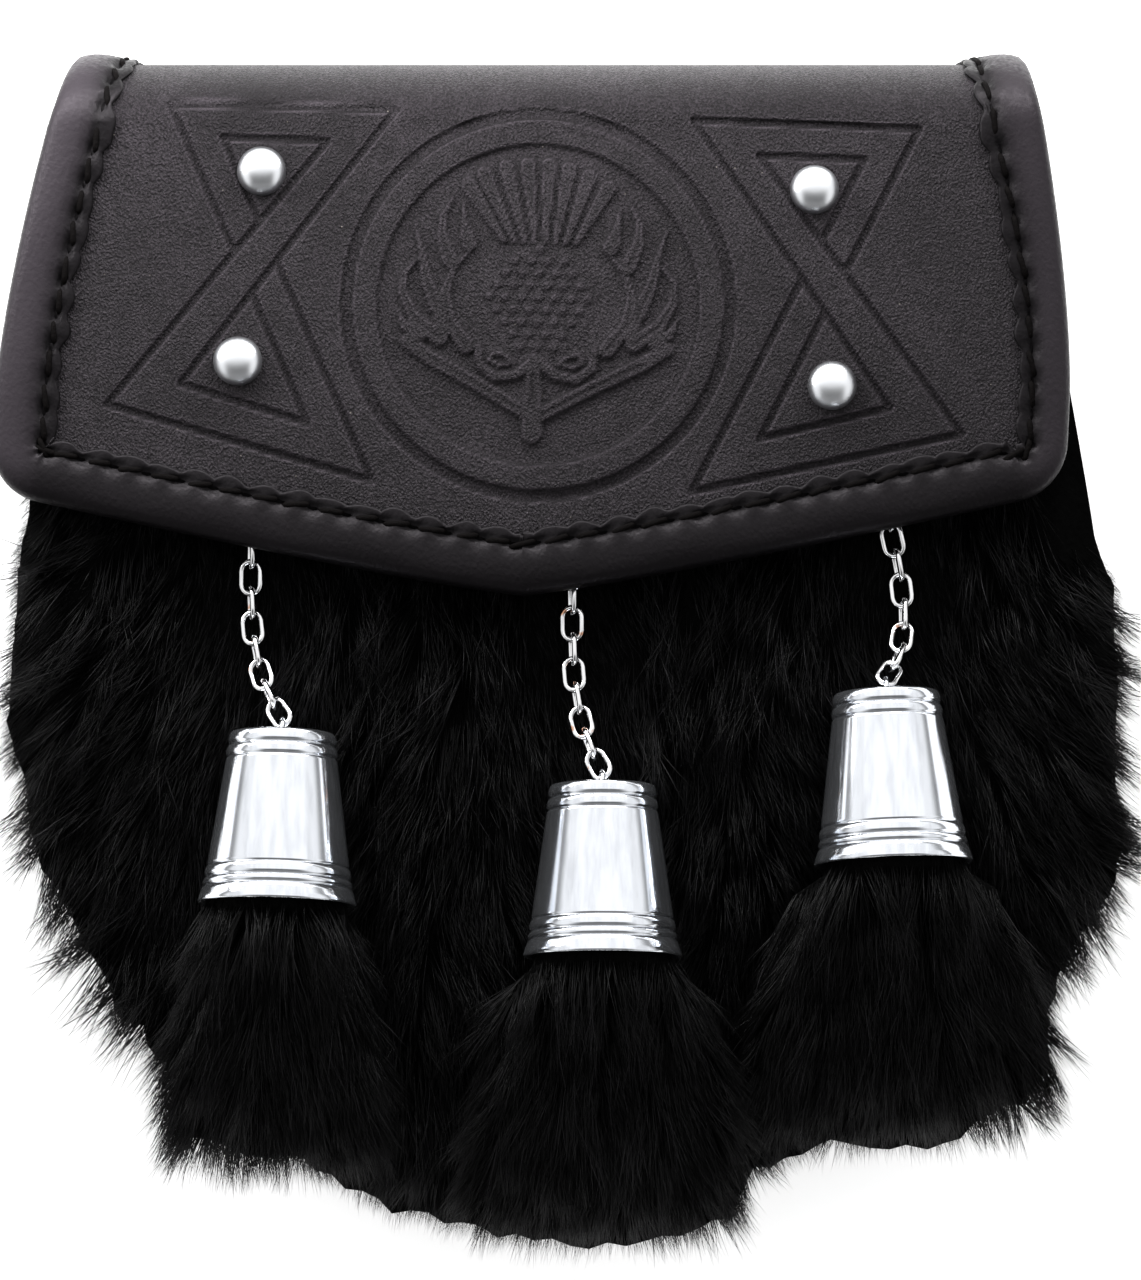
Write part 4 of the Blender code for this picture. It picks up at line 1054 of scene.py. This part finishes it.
def make_stud(name, finish):
    """A smooth dome where the stud's solid is."""
    low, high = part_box(name)
    middle = (low + high) / 2
    base = Vector((middle.x, middle.y, low.z))
    sides, rings = 40, 12
    points = []
    for ring in range(rings):
        angle = math.pi / 2 * ring / rings
        out = STUD_RADIUS * math.cos(angle) ** 0.9
        points += ring_points(base + UP * STUD_RISE * math.sin(angle), RIGHT * out, AWAY * out, sides)
    points += [base, base + UP * STUD_RISE]
    faces = grid_faces(rings, sides, closed=True)
    faces += end_fans(rings, sides, len(points) - 2, len(points) - 1)
    made = mesh_object(name.replace("stud", "dome"), points, faces, finish)
    outwards(made)
    settled(made, "stud_metal", name)


# Fur

def hair_shapes():
    """A few bent hairs one unit long along Z, which bend away from their own +X."""
    group = bpy.data.collections.new("hair_shapes")
    bpy.context.scene.collection.children.link(group)
    bends = ((0.03, 0.06), (0.10, -0.08), (0.16, 0.12), (0.07, -0.16), (0.20, 0.03))
    for number, (bend, sweep) in enumerate(bends):
        points = []
        for share in (0.0, 0.5):
            radius = 0.0070 * (1 - share) ** 0.5
            middle = Vector((-bend * share ** 1.8, sweep * share ** 1.5, share))
            points += ring_points(middle, RIGHT * radius, AWAY * radius, 3)
        points.append((-bend, sweep, 0.97))
        faces = grid_faces(2, 3, closed=True) + [(2, 1, 0)]
        faces += [(3 + side, 3 + (side + 1) % 3, 6) for side in range(3)]
        hair = mesh_object(f"hair_shape_{number}", points, faces, along=[0.0] * 3 + [0.5] * 3 + [1.0])
        bpy.context.scene.collection.objects.unlink(hair)
        group.objects.link(hair)
    return group


def growing_area(mesh, growth):
    """The area that grows hair, each face counted by how densely."""
    mesh.calc_loop_triangles()
    total = 0.0
    for triangle in mesh.loop_triangles:
        total += triangle.area * sum(growth[corner] for corner in triangle.vertices) / 3
    return total


def add_hair(name, skin, growth, wanted, seed, clump, stray, finish):
    """Grows about a wanted number of hairs from a skin."""
    set_values(skin.data, growth=growth)
    density = wanted / growing_area(skin.data, growth)
    values = {"Hair Shapes": HAIRS, "Seed": seed, "Density": density, "Clump Size": clump,
              "Clump Pull": CLUMP_PULL, "Stray": stray, "Finish": finish}
    return grown(name, skin, FUR, values, keep=("tone", "along"))


def bare_skin(mesh):
    """Takes off what only the hairs needed."""
    for name in ("comb", "length", "lift", "growth"):
        mesh.attributes.remove(mesh.attributes[name])


def ripple(x, y, size, seed):
    """A smooth wandering value between -1 and 1, for places in metres."""
    chance = np.random.default_rng(seed)
    made = np.zeros_like(x)
    for _ in range(6):
        angle, phase = chance.uniform(0, 2 * math.pi), chance.uniform(0, 2 * math.pi)
        pitch = size * chance.uniform(0.7, 1.5)
        made += np.sin((x * math.cos(angle) + y * math.sin(angle)) * 2 * math.pi / pitch + phase)
    return made / 3


def away_from(middle, x, y):
    return np.hypot(x - middle.x, y - middle.y)


def fur_limit(x, y):
    """How high the fur may stand at places in the scene, lower under what lies on it."""
    high = np.full_like(x, FUR_PILE)
    centre = flap_centre(y - SHIFT_Y)
    beside = np.abs(x - centre) - flap_half_width(y - SHIFT_Y)
    below = flap_low_edge(x - centre) - (y - SHIFT_Y)
    high = np.minimum(high, 4.2 * MM + np.maximum(0, np.maximum(beside, below)) * 0.8)
    for row in TASSELS:
        for name in link_names(row):
            low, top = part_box(name)
            middle = (low + top) / 2
            left = max(0.8 * MM, low.z - 0.4 * MM - float(front_height(middle.x, middle.y - SHIFT_Y)))
            high = np.minimum(high, left + np.maximum(0, away_from(middle, x, y) - 4 * MM) * 0.55)
        axis, mouth = cone_axis(row), cone_mouth(row)
        lying = [(mouth - axis * CONE_LENGTH * (1 - share), mix(CONE_TOP_RADIUS, CONE_BASE_RADIUS, share))
                 for share in (0.1, 0.4, 0.7, 1.0)]
        lying += [(middle, half_width) for middle, _, half_width, _ in tassel_stations(row)[1:]]
        for middle, reach in lying:
            high = np.minimum(high, 3 * MM + np.maximum(0, away_from(middle, x, y) - reach) * 0.7)
    return high


def covered(x, y):
    """1 where a bell or a tassel lies over the fur."""
    made = np.zeros_like(x)
    for row in TASSELS:
        lying = [(cone_mouth(row) - cone_axis(row) * CONE_LENGTH / 2, 6 * MM)]
        lying += [(middle, half_width * 0.6) for middle, _, half_width, _ in tassel_stations(row)[1:-1]]
        for middle, reach in lying:
            made = np.maximum(made, smooth(1 - (away_from(middle, x, y) - reach) / (5 * MM)))
    return made


def make_front_fur(under_finish, finish):
    """The coat on the front: a dense low undercoat and long hairs combed down and outwards."""
    columns, rows = 96, 88
    across = np.sin(math.pi * 0.96 * (np.linspace(0, 1, columns + 1) - 0.5)) / math.sin(math.pi * 0.48)
    across, down = np.meshgrid(across, np.linspace(0, 1, rows + 1))
    y = mix(POUCH_TOP, pouch_low_edge(across * POUCH_WIDTH / 2), down)
    x = across * pouch_half_width(y)
    rim = np.maximum(smooth((np.abs(across) - 0.93) / 0.07), smooth((down - 0.94) / 0.06))
    out_x, out_y = x / (POUCH_WIDTH / 2), np.minimum(0, y - POUCH_WIDEST) / (POUCH_WIDEST - POUCH_BOTTOM)
    size = np.maximum(1e-6, np.hypot(out_x, out_y))
    out_x, out_y = out_x / size, out_y / size

    # How far the coat reaches past the leather's edge, in each direction from the middle
    outward = np.degrees(np.arctan2(out_y, out_x))
    outward = np.where(outward > 90, outward - 360, outward)
    turns, reaches = zip(*RIM_REACH)
    reach_out = np.interp(outward, turns, reaches) * MM
    reach_out = reach_out + (0.5 * ripple(x, y, 6 * MM, 3) + 0.35 * ripple(x, y, 3 * MM, 4)) * MM
    bare = (x > 0) * smooth((y - BARE_ABOVE) / (5 * MM))
    reach_out = mix(reach_out - RIM_HAIR * 0.55, 0.3 * MM, bare)
    past = smooth((rim - 0.25) / 0.75) * np.maximum(0.3 * MM, reach_out)
    x = x + out_x * past
    y = y + (out_y - 0.25) * past

    world_y = y + SHIFT_Y
    limit = fur_limit(x, world_y)
    base = front_height(x, y) + GAP
    lumps = 1 + 0.25 * ripple(x, world_y, 9 * MM, 5)
    top = base + np.maximum(0.5 * MM, limit * 0.26 * lumps) * (1 - 0.75 * rim)
    points = np.concatenate([np.stack([x, world_y, z], 2).reshape(-1, 3) for z in (base, top)])
    layer = (rows + 1) * (columns + 1)
    faces = grid_faces(rows + 1, columns + 1)
    faces += grid_faces(rows + 1, columns + 1, layer, turned=True)
    edge = list(range(columns + 1)) + [row * (columns + 1) + columns for row in range(1, rows + 1)]
    edge += [rows * (columns + 1) + step for step in range(columns - 1, -1, -1)]
    edge += [row * (columns + 1) for row in range(rows - 1, 0, -1)]
    faces += [(here, there, layer + there, layer + here) for here, there in zip(edge, edge[1:] + edge[:1])]
    under = mesh_object("fur_undercoat", points, faces, under_finish)
    outwards(under)
    settled(under, "fur", "fur_front")

    # How the hairs lie: combed down, outwards near the edge, short and low under what lies on them
    reach = np.hypot(x / (POUCH_WIDTH / 2), np.minimum(0, y + 0.02) / 0.08)
    swirl = 0.35 * ripple(x, world_y, 55 * MM, 8) + 0.16 * ripple(x, world_y, 18 * MM, 9)
    radial = 0.14 + 1.0 * smooth((reach - 0.55) / 0.55)
    comb_x = out_x * radial * np.minimum(1, size * 1.4) + swirl
    combed = np.stack([comb_x, -1 + out_y * radial * 0.6, np.zeros_like(x)], 2)
    combed /= np.linalg.norm(combed, axis=2, keepdims=True)
    length = np.maximum(7 * MM, np.minimum(HAIR_LENGTH, limit * 2.6))
    length = length * (1 + 0.16 * ripple(x, world_y, 12 * MM, 10))
    edge_length = RIM_HAIR * 1.15 * (1 + 0.30 * ripple(x, world_y, 7 * MM, 12))
    length = mix(length, edge_length, smooth((rim - 0.3) / 0.6))
    lift = np.minimum(0.42, limit / length * 0.85) * (1 - 0.7 * rim)

    # Where they grow: not far under the flap, thinly under the bells and tassels, densely at the edge
    centre = flap_centre(y)
    inside_flap = np.minimum(flap_half_width(y) - np.abs(x - centre), y - flap_low_edge(x - centre))
    shown = 1 - smooth((inside_flap - 5 * MM) / (9 * MM))
    dense = shown * (1 - 0.75 * covered(x, world_y)) * (1 + 4.0 * rim)
    dense = dense * (1 - bare * smooth((np.abs(across) - 0.84) / 0.08))
    nothing = np.zeros(layer)
    set_values(under.data, comb=np.concatenate([np.zeros((layer, 3)), combed.reshape(-1, 3)]),
               length=np.concatenate([nothing + MM, length.ravel()]),
               lift=np.concatenate([nothing, lift.ravel()]))
    for side, label, seed in ((-1, "left", 21), (1, "right", 22)):
        mine = smooth(side * x / (4 * MM) + 0.5)
        growth = np.concatenate([nothing, (dense * mine).ravel()])
        hairs = add_hair(f"fur_front_{label}", under, growth, HAIRS_FRONT, seed, 9 * MM, 0.16, finish)
        settled(hairs, "fur", "fur_front")
    bare_skin(under.data)


def tassel_stations(row):
    """Middles, directions and half sizes of a tassel's body, from inside the bell to near the tips."""
    axis, mouth = cone_axis(row), cone_mouth(row)
    flat = Vector((axis.x, axis.y, 0)).normalized()
    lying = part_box(f"tassel_{row['side']}")[0].z
    bore = CONE_BASE_RADIUS - CONE_WALL - 0.4 * MM
    stations = []
    for along, width, thickness in TASSEL_SHAPE:
        if not width:
            radius = bore - 1.2 * MM * (along < 0)
            stations.append((mouth + axis * row["length"] * along, axis, radius, radius))
            continue
        half_width, half_height = row["width"] / 2 * width, TASSEL_THICKNESS / 2 * thickness * 0.86
        middle = mouth + flat * row["length"] * along
        middle.z = mix(mouth.z, lying + half_height, float(smooth(along * 5)))
        stations.append((middle, flat, half_width, half_height))
    return stations


def make_tassel(row, number, under_finish, finish):
    """A tassel: a dark body out of the bell's mouth with hairs along it, fanned to its tips."""
    stations = tassel_stations(row)
    around, between = 56, 6
    rings = []
    for (m1, a1, w1, h1), (m2, a2, w2, h2) in zip(stations, stations[1:]):
        for step in range(between):
            share = step / between
            rings.append((m1.lerp(m2, share), a1.lerp(a2, share).normalized(), mix(w1, w2, share),
                          mix(h1, h2, share)))
    rings.append(stations[-1])
    points, comb, length, growth = [], [], [], []
    count = len(rings)
    for index, (middle, along, half_width, half_height) in enumerate(rings):
        side = along.cross(UP).normalized()
        rise = side.cross(along)
        share = index / (count - 1)
        for step in range(around):
            angle = 2 * math.pi * step / around
            lump = 1 + (0.05 * math.sin(angle * 9 + index * 0.35 + number) if share > 0.2 else 0)
            point = middle + side * half_width * lump * math.cos(angle)
            point += rise * half_height * lump * math.sin(angle)
            points.append(point)
            fan = 0.10 + (row["width"] / row["length"]) * 0.38 * smooth(share * 1.4)
            wander = 0.10 * math.sin(angle * 5 + number * 2 + share * 4)
            comb.append(tuple((along + side * (math.cos(angle) * fan + wander)
                               - rise * 0.10 * math.sin(angle) * float(smooth(share * 1.2))).normalized()))
            length.append(mix(14 * MM, 9.5 * MM, share ** 2)
                          * (1 + 0.18 * math.sin(angle * 7 + index * 0.9)))
            growth.append(float(smooth((share - 0.12) / 0.06)) * (1.0 if math.sin(angle) > -0.35 else 0.1)
                          * (1 + 0.6 * share))
    middle, along, _, _ = rings[-1]
    points += [rings[0][0], middle + along * row["length"] * 0.03]
    lift = [0.20] * len(length) + [0.0, 0.0]
    comb += [tuple(along)] * 2
    length += [8 * MM] * 2
    growth += [0.0, 1.0]
    faces = grid_faces(count, around, closed=True)
    faces += end_fans(count, around, len(points) - 2, len(points) - 1)
    body = mesh_object(f"tassel_body_{row['side']}", points, faces, under_finish)
    outwards(body)
    settled(body, "fur", f"tassel_{row['side']}")
    set_values(body.data, comb=comb, length=length, lift=lift)
    hairs = add_hair(f"tassel_hair_{row['side']}", body, growth, HAIRS_TASSEL, 31 + number, 8 * MM, 0.15,
                     finish)
    settled(hairs, "fur", f"tassel_{row['side']}")
    bare_skin(body.data)


# The studio

def make_studio():
    """A camera straight above, a white table, one long soft light and a soft world."""
    camera = bpy.data.cameras.new("camera")
    camera.sensor_fit = "HORIZONTAL"
    camera.sensor_width = SENSOR
    camera.lens = SENSOR * CAMERA_RISE / PICTURE_WIDTH
    camera.clip_start, camera.clip_end = 0.05, 20
    seat = new_object("camera", camera)
    seat.location = (0, CAMERA_Y + SHIFT_Y, FOCUS_HEIGHT + CAMERA_RISE)
    bpy.context.scene.camera = seat

    corners = [(-TABLE_HALF, -TABLE_HALF, 0), (TABLE_HALF, -TABLE_HALF, 0), (TABLE_HALF, TABLE_HALF, 0),
               (-TABLE_HALF, TABLE_HALF, 0)]
    table = mesh_object("table_top", corners, [(0, 1, 2, 3)], white_table("table"))

    light = bpy.data.lights.new("top_key", "AREA")
    light.shape, light.size, light.size_y, light.energy = "RECTANGLE", KEY_WIDTH, KEY_DEPTH, KEY_POWER
    holder = new_object("top_key", light)
    holder.location = KEY_PLACE
    holder.rotation_euler = (KEY_TARGET - KEY_PLACE).to_track_quat("-Z", "Y").to_euler()
    soft_world()
    bpy.context.scene.view_settings.view_transform = "Standard"


def soft_world():
    """Light from the top and the sides of the picture, weaker from low down and from below it."""
    world = bpy.data.worlds.new("studio")
    world.use_nodes = True
    maker = Maker(world.node_tree)
    way = maker.node("ShaderNodeSeparateXYZ", {}, {0: maker.node("ShaderNodeTexCoord", output="Generated")})
    height = maker.beside(way, "Y")
    across = maker.math("ABSOLUTE", way)
    towards_top = maker.ranged(height, -0.26, 0.20, 0.08, 1.0) * maker.ranged(across, 0.70, 0.95, 1.0, 0.25)
    sideways = maker.ranged(across, 0.45, 0.80, 0.0, 0.85)
    from_below = maker.ranged(height, -0.45, -0.75, 0.0, 0.18)
    raised = maker.ranged(maker.beside(way, "Z"), 0.06, 0.28, 0.25, 1.0)
    lit = maker.math("MAXIMUM", maker.math("MAXIMUM", towards_top, sideways), from_below)
    maker.feed(world.node_tree.nodes["Background"], {
        "Color": (1, 1, 1, 1),
        "Strength": lit * raised * 1.1 + 0.05,
    })
    bpy.context.scene.world = world


make_studio()
SCATTER = scatter_tree()
FUR = fur_tree()
HAIRS = hair_shapes()

flap_leather = leather("flap_leather", 0.0015, 0.034, 0.45, 0.50 * MM, 0.34 * MM, specks=0.10)
binding_leather = leather("binding_leather", 0.0015, 0.005, 0.42, 1.0 * MM, 0.05 * MM, shine=0.18)
pouch_leather = leather("pouch_leather", 0.004, 0.014, 0.50, 1.0 * MM, 0.12 * MM)
fur_hair = long_hair("fur_hair")
fur_under = undercoat("fur_under")
chrome = metal("chrome", (0.87, 0.90, 0.95), 0.12, streaks=0.4, metallic=0.96)
chain_metal = metal("chain_metal", (0.84, 0.84, 0.85), 0.11, worn=0.9)
stud_metal = metal("stud_metal", (0.90, 0.92, 0.95), 0.30)
thread = waxed_thread("waxed_thread")

# The solids that stay as they are, by finish
for finish, names in (
        (pouch_leather, ("back_panel", "gusset", "front_panel", "belt_loop_left", "belt_loop_right")),
        (stud_metal, ("flap_snap",)),
        (chrome, ("chain_hanger_left", "chain_hanger_centre", "chain_hanger_right"))):
    for name in names:
        for slot in frame["nodes"][name].material_slots:
            slot.material = finish

make_flap(flap_leather)
make_binding(binding_leather)
make_stitches(thread)
for stud in ("stud_upper_left", "stud_lower_left", "stud_upper_right", "stud_lower_right"):
    make_stud(stud, stud_metal)
link = link_part()
for number, row in enumerate(TASSELS):
    make_chain(row, link, chain_metal)
    make_bell(row, chrome)
    make_tassel(row, number, fur_under, fur_hair)
make_front_fur(fur_under, fur_hair)
for helper in [link, *HAIRS.objects]:
    bpy.data.objects.remove(helper)
bpy.data.collections.remove(HAIRS)
